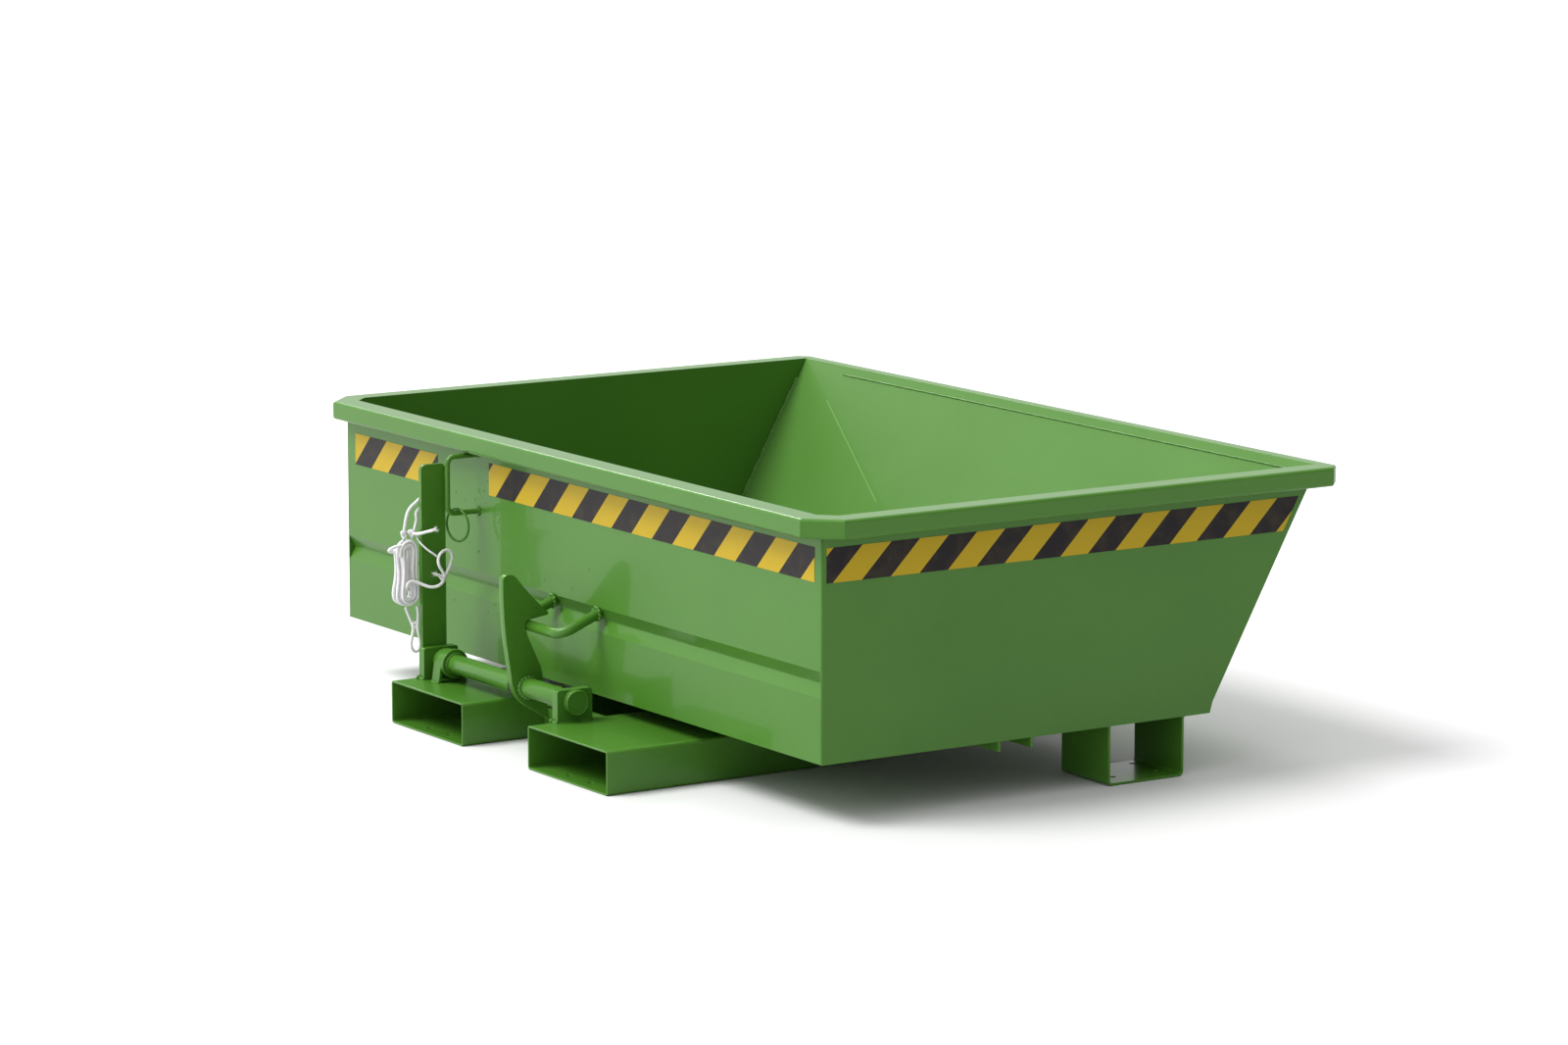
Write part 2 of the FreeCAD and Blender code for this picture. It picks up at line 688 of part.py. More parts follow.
def make_cross_members():
    """Two flats between the pockets. The rear one has a tab that anchors the spring."""
    low, high = pocket_left_x + pocket_left_width, pocket_right_x
    edges, start = spring_coil()
    rear = box(low, high, 0, member_thickness, member_low_z, member_high_z)
    tab = box(start.x - anchor_width / 2, start.x + anchor_width / 2, 0, member_thickness,
              member_high_z, anchor_top_z)
    rear = rear.fuse(tab).removeSplitter()
    arm = edges[0]
    way = arm.tangentAt(arm.FirstParameter) * -1
    begin = arm.valueAt(arm.LastParameter)
    hole = Part.makeCylinder(spring_wire / 2 + anchor_hole_gap, arm.Length + overrun, begin, way)
    write("cross_member_rear", rear.cut(hole))
    front_y = pivot_y - pivot_plate_reach - member_front_gap
    write("cross_member_front", box(low, high, front_y - member_thickness, front_y, member_low_z, member_high_z))
    write("return_spring", sweep(edges, spring_wire / 2))


def make_brackets():
    """Two plates on the pockets that carry the latch shaft."""
    for name, x in (("shaft_bracket_left", bracket_left_x), ("shaft_bracket_right", bracket_right_x)):
        plate = box(x, x + bracket_thickness, shaft_y - bracket_width / 2, shaft_y + bracket_width / 2,
                    pocket_height, bracket_top_z)
        top = [edge for edge in edges_along(plate, Vector(1, 0, 0)) if edge.BoundBox.ZMin > shaft_z]
        plate = plate.makeFillet(bracket_corner, top)
        hole = rod_x(shaft_y, shaft_z, shaft_radius + shaft_running_gap, x - overrun, x + overrun)
        write(name, plate.cut(hole))


def tangent_point(y, z, radius, side):
    """Where a line from (y, z) touches the circle of a radius round the shaft."""
    far = math.hypot(y - shaft_y, z - shaft_z)
    base = math.atan2(z - shaft_z, y - shaft_y)
    angle = base + side * math.acos(radius / far)
    return Vector(strap_x, shaft_y + radius * math.cos(angle), shaft_z + radius * math.sin(angle))


def make_strap():
    """A strap bent over the shaft, with its two legs spread on the pocket."""
    inner = shaft_radius + shaft_running_gap
    outer = inner + strap_thickness
    floor = pocket_height
    left, right = shaft_y - strap_foot_half_span, shaft_y + strap_foot_half_span
    places = []
    for y, radius, side in ((left, outer, -1), (right, outer, 1), (right - strap_thickness, inner, 1),
                            (left + strap_thickness, inner, -1)):
        places.append((Vector(strap_x, y, floor), tangent_point(y, floor, radius, side)))
    (a, a_up), (b, b_up), (c, c_up), (d, d_up) = places
    edges = [line(a, a_up), arc(a_up, Vector(strap_x, shaft_y, shaft_z + outer), b_up), line(b_up, b),
             line(b, c), line(c, c_up), arc(c_up, Vector(strap_x, shaft_y, shaft_z + inner), d_up),
             line(d_up, d), line(d, a)]
    write("bearing_strap", Part.Face(Part.Wire(edges)).extrude(Vector(strap_width, 0, 0)))


def make_shaft():
    """The latch shaft with its collar, end cap and the weld beads beside the hook."""
    write("latch_shaft", rod_x(shaft_y, shaft_z, shaft_radius, lever_right_x, cap_x))
    collar = rod_x(shaft_y, shaft_z, collar_radius, collar_x, collar_x + collar_length)
    write("shaft_collar", collar.cut(rod_x(shaft_y, shaft_z, shaft_radius, collar_x - overrun,
                                           collar_x + overrun)))
    cap = rod_x(shaft_y, shaft_z, cap_radius, cap_x, cap_x + cap_length)
    rim = [edge for edge in cap.Edges if edge.BoundBox.XMin > cap_x + cap_length / 2]
    write("end_cap", cap.makeFillet(cap_dome, rim))
    beads = []
    for x, way in ((hook_x, -1), (hook_x + hook_thickness, 1)):
        bead = Part.makeCone(weld_radius, shaft_radius, weld_length, Vector(x, shaft_y, shaft_z), Vector(way, 0, 0))
        beads.append(bead.cut(rod_x(shaft_y, shaft_z, shaft_radius, x - overrun, x + overrun)))
    write("hook_welds", *beads)


def make_hook():
    """The hook plate: its notch is set out from the strike bar, the rest from its rise."""
    def at(share):
        return Vector(hook_x, shaft_y + share[0] * hook_rise, shaft_z + share[1] * hook_rise)

    wall_y = bar_front_y - bar_radius - notch_gap
    roof_z = bar_front_z + bar_radius + notch_top_gap
    wall_low = Vector(hook_x, wall_y, bar_front_z - notch_wall_drop)
    wall_high = Vector(hook_x, wall_y, roof_z - notch_round)
    roof = Vector(hook_x, wall_y + notch_round, roof_z)
    lean = notch_round * (1 - math.sqrt(0.5))
    corner = Vector(hook_x, wall_y + lean, roof_z - lean)
    front = [at(share) for share in hook_front_shares] + [wall_low, wall_high]
    edges = [line(a, b) for a, b in zip(front, front[1:])]
    edges.append(arc(wall_high, corner, roof))
    tip = at(hook_tip_share)
    edges.append(line(roof, tip))
    here = tip
    for shares in (hook_tip_round_shares, hook_cam_shares, hook_top_shares, hook_crown_shares,
                   hook_back_shares):
        middle, end = at(shares[0]), at(shares[1])
        edges.append(arc(here, middle, end))
        here = end
    heel = at(hook_heel_share)
    edges.append(line(here, heel))
    edges.append(arc(heel, at(hook_tail_shares[0]), at(hook_tail_shares[1])))
    edges.append(line(at(hook_tail_shares[1]), front[0]))
    hook = Part.Face(Part.Wire(edges)).extrude(Vector(hook_thickness, 0, 0))
    hole = rod_x(shaft_y, shaft_z, shaft_radius, hook_x - overrun, hook_x + hook_thickness + overrun)
    write("hook_plate", hook.cut(hole))


def make_lever():
    """The release lever, a flat with a round foot, and the pin that holds the rope."""
    middle = shaft_y - lever_back
    half = lever_width / 2
    x = lever_left_x
    left, right = middle - half, middle + half
    foot = arc(Vector(x, right, shaft_z), Vector(x, middle, shaft_z - half), Vector(x, left, shaft_z))
    top = [Vector(x, left, shaft_z), Vector(x, left, lever_top_z), Vector(x, right, lever_top_z),
           Vector(x, right, shaft_z)]
    edges, _ = rounded_path(top, lambda shorter, half_turn: lever_corner)
    lever = Part.Face(Part.Wire([foot] + edges)).extrude(Vector(lever_thickness, 0, 0))
    write("release_lever", lever)
    pin = rod_x(rope_pin_y, rope_pin_z, rope_pin_radius, pin_low_x, lever_left_x)
    head = rod_x(rope_pin_y, rope_pin_z, rope_pin_head_radius, pin_low_x - rope_pin_head_length, pin_low_x)
    write("rope_pin", pin.fuse(head))


def make_strike_bar():
    """A round bar bent to a U, its ends cut to the grooved wall."""
    slope = (bar_wall_z - bar_front_z) / bar_front_y
    deep = groove_depth + overrun
    deep_z = bar_wall_z - slope * deep
    points = [Vector(bar_left_x, deep, deep_z), Vector(bar_left_x, bar_front_y, bar_front_z),
              Vector(bar_right_x, bar_front_y, bar_front_z), Vector(bar_right_x, deep, deep_z)]
    bar = bent_bar(points, bar_bend_radius, bar_radius)
    inside = wall_outline()[:5] + [(deep + overrun, wall_top_z), (deep + overrun, bin_bottom_z)]
    write("strike_bar", bar.cut(prism_x(inside, bar_left_x - overrun, bar_right_x + overrun)))


def make_bail():
    """A small bent bar on the rear wall and the loose ring that hangs on its lower leg."""
    points = [Vector(bail_x, 0, bail_low_z), Vector(bail_x, -bail_reach, bail_low_z),
              Vector(bail_x, -bail_reach, bail_high_z), Vector(bail_x, 0, bail_high_z)]
    bar = bent_bar(points, bail_bend_radius, bail_wire_radius)
    nub = Part.makeCylinder(bail_nub_radius, bail_nub_length, Vector(bail_x, 0, bail_low_z), Vector(0, -1, 0))
    write("bail", bar.fuse(nub))
    middle_z = bail_low_z + bail_wire_radius + ring_rest_gap - (ring_mean_radius - ring_wire_radius)
    angle = math.radians(ring_turn_angle)
    way = Vector(-math.sin(angle), math.cos(angle), 0)
    write("ring", Part.makeTorus(ring_mean_radius, ring_wire_radius, Vector(bail_x, ring_y, middle_z), way))


def make_tapes():
    """Hazard tape on the rear wall and on both sides."""
    low, high = tape_low_z, tape_low_z + tape_width
    write("tape_rear_right", box(tape_right_start_x, bin_half_width - tape_right_end_inset, -tape_thickness, 0,
                                 low, high))
    write("tape_rear_left", box(tape_left_start_inset - bin_half_width, tape_left_end_x, -tape_thickness, 0,
                                low - tape_left_drop, high - tape_left_drop))
    outline = [(tape_side_rear_y, low), (slope_y(low) - tape_side_front_inset, low),
               (slope_y(high) - tape_side_front_inset, high), (tape_side_rear_y, high)]
    write("tape_side_right", prism_x(outline, bin_half_width, bin_half_width + tape_thickness))
    write("tape_side_left", prism_x(outline, -bin_half_width - tape_thickness, -bin_half_width))


def hank_stations():
    """Places and directions along the hank's loops, from the first straight end to the last."""
    widest = (hank_width - rope_diameter) / 2
    straight = (hank_height - rope_diameter) / 2 - widest
    turns = hank_layers * hank_loops_per_layer
    first_x = hank_x - hank_pitch * (hank_layers - 1) / 2
    up, down = Vector(0, 0, 1), Vector(0, 0, -1)
    rearward, forward = Vector(0, -1, 0), Vector(0, 1, 0)

    def reach(turned):
        """Half the loop's width after some turns: in on even layers, out on odd ones."""
        layer = min(int(turned / hank_loops_per_layer), hank_layers - 1)
        within = turned - layer * hank_loops_per_layer
        inward = within if layer % 2 == 0 else hank_loops_per_layer - within
        return widest - hank_pitch * inward

    stations = [(Vector(first_x, hank_y - widest, hank_z + straight + rope_diameter), down)]
    for loop in range(turns):
        layer = loop // hank_loops_per_layer
        climbs = loop % hank_loops_per_layer == 0 and layer > 0
        x = first_x + hank_pitch * layer
        eighths = [reach(loop + share) for share in hank_turn_shares]
        start_x = x - hank_pitch if climbs else x
        waist_x = (start_x + x) / 2
        stations += [
            (Vector(start_x, hank_y - eighths[0], hank_z + straight), down),
            (Vector(waist_x, hank_y - eighths[1] + hank_waist_in, hank_z + hank_waist_rise), down),
            (Vector(x, hank_y - eighths[2], hank_z - straight), down),
            (Vector(x, hank_y, hank_z - straight - eighths[3]), forward),
            (Vector(x, hank_y + eighths[4], hank_z - straight), up),
            (Vector(x, hank_y + eighths[5] - hank_waist_in, hank_z + hank_waist_rise), up),
            (Vector(x, hank_y + eighths[6], hank_z + straight), up),
            (Vector(x, hank_y, hank_z + straight + eighths[7]), rearward),
        ]
    last_x = first_x + hank_pitch * (hank_layers - 1)
    last = hank_y - reach(turns)
    stations.append((Vector(last_x, last, hank_z + straight), down))
    stations.append((Vector(last_x, last, hank_z + straight - rope_diameter), down))
    return stations


def least_gap(edges, diameter):
    """The least gap between turns of a tube, measured on points a diameter apart or less."""
    points = []
    travelled = 0
    for edge in edges:
        steps = max(int(edge.Length / (diameter / 4)), 1)
        span = edge.LastParameter - edge.FirstParameter
        for step in range(steps):
            place = edge.valueAt(edge.FirstParameter + span * step / steps)
            points.append((travelled + edge.Length * step / steps, place.x, place.y, place.z))
        travelled += edge.Length
    least = None
    cells = {}
    for index, (along, x, y, z) in enumerate(points):
        cell = (int(x // (2 * diameter)), int(y // (2 * diameter)), int(z // (2 * diameter)))
        cells.setdefault(cell, []).append(index)
    for (i, j, k), members in cells.items():
        near = []
        for a in (i - 1, i, i + 1):
            for b in (j - 1, j, j + 1):
                for c in (k - 1, k, k + 1):
                    near += cells.get((a, b, c), [])
        for first in members:
            along, x, y, z = points[first]
            for second in near:
                other = points[second]
                if other[0] - along > 3 * diameter:
                    apart = math.dist((x, y, z), other[1:])
                    least = apart if least is None or apart < least else least
    return least - diameter


def make_hank():
    """The hank: one unbroken tube."""
    edges = biarcs(hank_stations())
    length = sum(edge.Length for edge in edges)
    solid = sweep(edges, rope_radius)
    wanted = math.pi * rope_radius ** 2 * length
    print("rope_hank length", round(length, 1), "volume share", round(solid.Volume / wanted, 4),
          "least gap", round(least_gap(edges, rope_diameter), 3))
    write("rope_hank", solid)
    return length


def make_rope():
    """The rope: the hank and every free stretch."""
    total = make_hank()
    for name, route, diameter in (("rope_hanger", hanger_route, rope_diameter),
                                  ("rope_eye", eye_route, rope_diameter),
                                  ("rope_eye_end", eye_stub_route, rope_diameter),
                                  ("rope_cut_end", end_route, rope_diameter),
                                  ("rope_tie", tie_route, tie_diameter),
                                  ("rope_tail", tail_route, rope_diameter)):
        solid, length = rope_stretch(name, route, diameter)
        write(name, solid)
        total += length
    print("rope in all", round(total, 1))


def main():
    os.makedirs("parts", exist_ok=True)
    make_side_plates()
    make_bin_shell()
    make_rim()
    make_flats()
    make_feet()
    make_pocket("fork_pocket_left", pocket_left_x, pocket_left_width)
    make_pocket("fork_pocket_right", pocket_right_x, pocket_right_width)
    make_pivot()
    make_cross_members()
    make_brackets()
    make_strap()
    make_shaft()
    make_hook()
    make_lever()
    make_strike_bar()
    make_bail()
    make_tapes()
    make_rope()
    for name, volume, solids, valid in volumes:
        print(f"{name:26s} {volume / 1000:10.2f} cm3  solids {solids}  valid {valid}")
    print(len(volumes), "nodes, origin shift", base_shift)


main()
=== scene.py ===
# %% [markdown]
# # Dressing a self dumping hopper
#
# A shallow steel skip stands on two fork pockets. It is all welded sheet and flat bar under one thick
# coat of glossy green paint, with hazard tape under its rim, and a latch and a hank of white rope behind
# its rear wall. The steel already comes as exact solids, so the work here is the camera, the rope, the
# spring, the weld seams, the paint and the light.

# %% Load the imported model
import math
import random
import bpy
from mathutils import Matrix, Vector


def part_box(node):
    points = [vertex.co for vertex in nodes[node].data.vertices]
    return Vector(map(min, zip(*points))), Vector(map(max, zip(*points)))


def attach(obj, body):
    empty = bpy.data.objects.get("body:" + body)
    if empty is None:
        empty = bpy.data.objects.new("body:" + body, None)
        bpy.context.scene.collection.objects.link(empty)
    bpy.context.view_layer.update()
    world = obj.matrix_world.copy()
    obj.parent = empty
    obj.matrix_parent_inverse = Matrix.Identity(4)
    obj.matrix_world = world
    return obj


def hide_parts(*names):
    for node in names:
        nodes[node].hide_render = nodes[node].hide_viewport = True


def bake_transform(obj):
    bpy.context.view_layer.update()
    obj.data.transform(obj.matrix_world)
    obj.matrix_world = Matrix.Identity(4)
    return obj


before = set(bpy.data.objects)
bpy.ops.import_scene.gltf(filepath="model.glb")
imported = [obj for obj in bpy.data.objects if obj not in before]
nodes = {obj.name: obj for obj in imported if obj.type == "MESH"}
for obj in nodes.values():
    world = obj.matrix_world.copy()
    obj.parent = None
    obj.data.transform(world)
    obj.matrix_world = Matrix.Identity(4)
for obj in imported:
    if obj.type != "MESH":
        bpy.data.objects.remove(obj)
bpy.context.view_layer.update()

# %% [markdown]
# All places below are in millimetres from the outer face of the rear wall, as on a workshop drawing: x to
# the right along the wall, y into the bin, z up from the floor. One helper turns them into metres in the
# frame. Typing metres would also do, but it invites slips of a factor of a thousand. A second helper
# reads a steel node's box back in the same millimetres, so that a weld lies where its plate really is.

# %% Places in the workshop's millimetres
wall_back_mm = 378.7


def at(x, y, z):
    """A place in millimetres from the rear wall, as a vector in metres in the frame."""
    return Vector((x, y - wall_back_mm, z)) / 1000


def span(node):
    """A node's lowest and highest corners, in the same millimetres."""
    shift = Vector((0, wall_back_mm, 0))
    return tuple(corner * 1000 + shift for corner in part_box(node))


inside_x = span("side_plate_right")[0].x
floor_z = span("bottom_plate")[1].z
bottom_z = span("bottom_plate")[0].z
print("the bin is", round(2 * inside_x), "mm wide inside, and its floor lies at", round(floor_z))

# %% [markdown]
# The picture is taken with a long lens from the right rear, above the rim, so that upright edges stay
# almost parallel. The camera is aimed along a heading and a pitch, because a roll would tilt the floor.

# %% Camera
heading, pitch = math.radians(56.88), math.radians(9.53)
focal_length, sensor_width, distance, far_clip = 128.39, 36.0, 8.23992, 200
aim = Vector((0.28703, -0.1807, 0.36196))
level = Vector((-math.sin(heading), math.cos(heading), 0.0))
forward = Vector((level.x * math.cos(pitch), level.y * math.cos(pitch), -math.sin(pitch)))
lens = bpy.data.cameras.new("camera")
lens.lens, lens.sensor_width, lens.sensor_fit = focal_length, sensor_width, "HORIZONTAL"
lens.clip_end = far_clip
camera = bpy.data.objects.new("camera", lens)
camera.location = aim - forward * distance
camera.rotation_euler = forward.to_track_quat("-Z", "Y").to_euler()
bpy.context.collection.objects.link(camera)
bpy.context.scene.camera = camera
print("camera stands at", tuple(round(v, 3) for v in camera.location))

# %% [markdown]
# Finishes are made of shader nodes. Linking each sum by hand soon hides what is meant, so one small class
# wraps a socket: an expression on wires adds the Math nodes, and one method adds every other kind of
# node, with its settings first and then what its sockets take.


# %% A wire that can be used in sums
class Wire:
    """One output in a finish's node tree."""

    def __init__(self, tree, socket=None):
        self.tree, self.socket = tree, socket

    def make(self, kind, settings=None, sockets=None, output=0):
        """Adds a node, sets its settings and then its sockets, and gives the wire of one output."""
        node = self.tree.nodes.new("ShaderNode" + kind)
        for name, value in (settings or {}).items():
            if name == "stops":
                self.set_stops(node.color_ramp, value)
            else:
                setattr(node, name, value)
        for name, value in (sockets or {}).items():
            if isinstance(value, Wire):
                self.tree.links.new(value.socket, node.inputs[name])
            else:
                node.inputs[name].default_value = value
        return Wire(self.tree, node.outputs[output])

    def set_stops(self, ramp, stops):
        """Gives a colour ramp its stops, from (place, grey) pairs."""
        while len(ramp.elements) > 1:
            ramp.elements.remove(ramp.elements[-1])
        for index, (place, grey) in enumerate(stops):
            stop = ramp.elements[0] if index == 0 else ramp.elements.new(place)
            stop.position = place
            stop.color = (grey, grey, grey, 1)

    def sum(self, operation, first, second):
        return self.make("Math", {"operation": operation}, {0: first, 1: second})

    def __add__(self, other):
        return self.sum("ADD", self, other)

    def __radd__(self, other):
        return self.sum("ADD", other, self)

    def __sub__(self, other):
        return self.sum("SUBTRACT", self, other)

    def __rsub__(self, other):
        return self.sum("SUBTRACT", other, self)

    def __mul__(self, other):
        return self.sum("MULTIPLY", self, other)

    def __lt__(self, other):
        return self.sum("LESS_THAN", self, other)

    def __gt__(self, other):
        return self.sum("GREATER_THAN", self, other)

    def __mod__(self, other):
        return self.sum("FLOORED_MODULO", self, other)

    def wave(self):
        """The sine of this wire."""
        return self.make("Math", {"operation": "SINE"}, {0: self})

    def xyz(self):
        """The three parts of a place, as three wires."""
        node = self.make("SeparateXYZ", {}, {0: self}).socket.node
        return [Wire(self.tree, socket) for socket in node.outputs]

    def choose(self, dark, light):
        """A colour between two colours, with this wire as the share of the second."""
        return self.make("Mix", {"data_type": "RGBA"}, {0: self, 6: dark, 7: light}, 2)

    def ramp(self, *stops):
        """This wire through a ramp of greys."""
        return self.make("ValToRGB", {"stops": stops}, {0: self})

    def noise(self, place, scale, detail=2.0):
        """Cloudy noise from 0 to 1, with so many features to the metre."""
        return self.make("TexNoise", {}, {"Vector": place, "Scale": scale, "Detail": detail})

    def bumps(self, height, depth, under=None):
        """A bumped normal. The depth is in metres, and it can lie over another bumped normal."""
        sockets = {"Height": height, "Distance": depth, "Strength": 1.0}
        if under is not None:
            sockets["Normal"] = under
        return self.make("Bump", {}, sockets)


print("wires ready")

# %% [markdown]
# A finish is one Principled shader. What is the same all over is set on the shader itself, and what
# changes over the surface comes through wires. Every pattern is placed by the piece's own coordinates,
# because a pattern placed in the world would slide over the piece when a joint moves it.


# %% Finishes from wires
generated, mapped, on_piece = 0, 2, 3


def finish(name, fixed, varying):
    """A material. fixed is set on its shader, and varying(start) gives what changes over the surface."""
    material = bpy.data.materials.new(name)
    material.use_nodes = True
    tree = material.node_tree
    shader = tree.nodes["Principled BSDF"]
    for socket, value in fixed.items():
        shader.inputs[socket].default_value = value
    for socket, wire in varying(Wire(tree)).items():
        tree.links.new(wire.socket, shader.inputs[socket])
    return material


def own_place(start):
    """Where a point is on the piece itself, in metres. It stays with the piece when a joint moves."""
    return start.make("TexCoord", {}, {}, on_piece)


def coat_node(name, coat):
    """One finish for a whole steel node."""
    nodes[name].data.materials.clear()
    nodes[name].data.materials.append(coat)


print("finishes can be made")

# %% [markdown]
# The rope is a white plaited cord of 5 mm, and matt. Its colour is painted a little grey between its
# strands and in fine flecks, as painted shade of the weave, and it varies a little in soft grey clouds.
# The plait is shape, and only the fine yarns are bumps. They follow the tube's own map, which runs round it
# and along it.

# %% White rope
yarns_round, yarns_along = 50.3, 9.0


def rope_varying(start):
    around, along, _ = start.make("TexCoord", {}, {}, mapped).xyz()
    one_way = (around * yarns_round + along * yarns_along).wave()
    yarns = one_way * (around * yarns_round - along * yarns_along).wave()
    grey_clouds = start.noise(own_place(start), 60.0, 4.0)
    fuzz_and_fleck_shade = start.noise(own_place(start), 1800.0, 3.0)
    # Painted shade: the grey between the strands and in the fine flecks stands for shade in the weave; the
    # soft clouds vary at random.
    shade = (yarns * 0.16 + grey_clouds * 0.5 + fuzz_and_fleck_shade * 0.3).ramp((0.2, 0), (0.75, 1))
    return {
        "Base Color": shade.choose((0.74, 0.72, 0.75, 1), (0.97, 0.96, 0.97, 1)),
        "Roughness": 0.74 + grey_clouds * 0.2,
        "Normal": start.bumps(yarns + fuzz_and_fleck_shade * 1.5, 0.00022),
    }


white_rope = finish("white_rope", {"Sheen Weight": 0.25, "Specular IOR Level": 0.3}, rope_varying)
print("finish:", white_rope.name)

# %% [markdown]
# Tubes are the commonest form here: rope, spring wire and weld beads. One helper lays rings of points
# along a path, turning the rings as little as it can from one to the next, so that a plait doesn't twist.
# A curve with a bevel would be quicker, but its section keeps one shape all the way.

# %% Rings along a path
map_per_metre = 200


def mesh_piece(name, verts, faces, body, coat, places=None):
    """A smooth mesh with one finish. It rides on a body, unless body is None."""
    mesh = bpy.data.meshes.new(name)
    mesh.from_pydata(verts, [], faces)
    if places:
        layer = mesh.uv_layers.new(name="around_along")
        layer.data.foreach_set("uv", [value for place in places for value in place])
    mesh.shade_smooth()
    mesh.materials.append(coat)
    mesh.update()
    piece = bpy.data.objects.new(name, mesh)
    bpy.context.collection.objects.link(piece)
    if body:
        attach(piece, body)
    return piece


def arc_lengths(points):
    """How far along the path each point is, in metres."""
    total, out = 0.0, [0.0]
    for first, second in zip(points, points[1:]):
        total += (second - first).length
        out.append(total)
    return out


def ring_points(points, sides, radius, far, closed):
    """Rings of points square to the path. radius(angle, length along) is each one's distance from it."""
    count, verts = len(points), []
    across = (points[1] - points[0]).normalized().orthogonal().normalized()
    for index, point in enumerate(points):
        before = points[index - 1] if index or closed else point
        after = points[(index + 1) % count] if index + 1 < count or closed else point
        ahead = (after - before).normalized()
        across = (across - ahead * across.dot(ahead)).normalized()
        up = ahead.cross(across)
        for side in range(sides):
            angle = 2 * math.pi * side / sides
            out = across * math.cos(angle) + up * math.sin(angle)
            verts.append(point + out * radius(angle, far[index]))
    return verts


def tube(name, points, sides, radius, body, coat, closed=False):
    """A tube of rings along the points, with a map that runs round it and along it."""
    count, far = len(points), arc_lengths(points)
    verts = ring_points(points, sides, radius, far, closed)
    faces, places = [], []
    for ring in range(count if closed else count - 1):
        start, end = ring * sides, ((ring + 1) % count) * sides
        near = far[ring] * map_per_metre
        next_far = far[min(ring + 1, count - 1)] * map_per_metre
        for side in range(sides):
            after = (side + 1) % sides
            faces.append((start + side, start + after, end + after, end + side))
            left, right = side / sides, (side + 1) / sides
            places += [(left, near), (right, near), (right, next_far), (left, next_far)]
    if not closed:
        faces.append(tuple(reversed(range(sides))))
        faces.append(tuple((count - 1) * sides + side for side in range(sides)))
        places += [(0.5, 0.0)] * sides + [(0.5, far[-1] * map_per_metre)] * sides
    return mesh_piece(name, verts, faces, body, coat, places)


print("tubes ready")

# %% [markdown]
# A rope's line is smooth, so its route gives only the control points of a NURBS spline, and the points
# that the tube follows are read back from that spline. Rounding the corners one by one would look like
# bent wire.


# %% Points of a smooth spline
def spline_points(route, steps=12):
    """Points along the smooth NURBS spline that has the route as its control points."""
    curve = bpy.data.curves.new("route", "CURVE")
    curve.dimensions = "3D"
    curve.resolution_u = steps
    spline = curve.splines.new("NURBS")
    spline.points.add(len(route) - 1)
    for point, place in zip(spline.points, route):
        point.co = (*place, 1)
    spline.order_u = 3
    spline.use_endpoint_u = True
    holder = bpy.data.objects.new("route", curve)
    bpy.context.collection.objects.link(holder)
    bpy.context.view_layer.update()
    mesh = bpy.data.meshes.new_from_object(holder)
    points = [vertex.co.copy() for vertex in mesh.vertices]
    bpy.data.objects.remove(holder)
    bpy.data.meshes.remove(mesh)
    return points


print("splines ready")

# %% [markdown]
# The rope is hung up as storemen do it: wound into a hank, gathered and knotted at the top, and hung by
# one long fold over a pin on the lever. Its ends and spare loops hang free, each on its own route.

# %% Routes of the rope, in millimetres from the rear wall
rope_size, tie_size = 0.005, 0.003
hanger_route = [
    (-304.5, -112.5, 281.6), (-302.5, -113.0, 292.5), (-300.5, -111.0, 309.0), (-299.0, -109.0, 322.0),
    (-298.5, -103.0, 331.5), (-298.0, -94.0, 337.5), (-298.0, -86.0, 344.0), (-298.0, -78.0, 350.6),
    (-298.0, -69.0, 348.0), (-298.0, -67.0, 337.0), (-298.0, -78.0, 329.5), (-298.0, -89.0, 327.5),
    (-298.5, -94.0, 321.0), (-299.5, -91.5, 311.0), (-301.0, -93.5, 301.0), (-302.0, -96.0, 291.0),
    (-303.0, -98.5, 281.0),
]
eye_route = [
    (-294.5, -110.5, 204.0), (-291.5, -116.0, 206.5), (-290.0, -114.5, 215.0), (-289.0, -107.0, 218.5),
    (-285.5, -98.5, 215.5), (-280.0, -90.5, 211.0), (-275.0, -82.5, 208.0), (-271.5, -72.0, 208.5),
    (-270.0, -62.0, 215.5), (-270.0, -57.0, 228.0), (-270.0, -50.5, 240.0), (-269.5, -46.0, 252.5),
    (-268.5, -50.5, 263.0), (-267.5, -60.5, 265.5), (-266.0, -71.5, 260.0), (-264.5, -75.5, 248.5),
    (-263.5, -71.0, 237.0), (-263.0, -63.5, 226.0),
]
eye_stub_route = [(-264.3, -68.0, 224.3), (-263.8, -73.5, 227.3), (-263.8, -79.5, 229.3)]
end_route = [
    (-299.6, -99.8, 290.0), (-290.5, -100.5, 290.5), (-280.0, -97.5, 292.0), (-271.0, -90.5, 295.5),
    (-264.0, -82.5, 298.5),
]
tie_route = [
    (-299.0, -95.5, 289.5), (-291.0, -95.0, 280.5), (-282.0, -92.5, 273.5), (-274.0, -87.0, 266.0),
    (-268.0, -80.0, 260.5), (-266.0, -75.5, 256.0),
]
tail_route = [
    (-301.5, -112.0, 175.2), (-301.5, -109.0, 168.0), (-301.5, -104.0, 156.0), (-301.0, -98.5, 143.0),
    (-300.5, -101.0, 131.0), (-300.0, -104.5, 120.0), (-299.5, -103.5, 110.5), (-298.5, -98.0, 104.5),
    (-297.0, -91.5, 107.5), (-295.5, -89.5, 116.5), (-295.0, -92.0, 128.5), (-295.0, -95.5, 142.0),
    (-295.5, -93.5, 157.0), (-297.0, -92.5, 169.0), (-298.0, -94.0, 176.0),
]
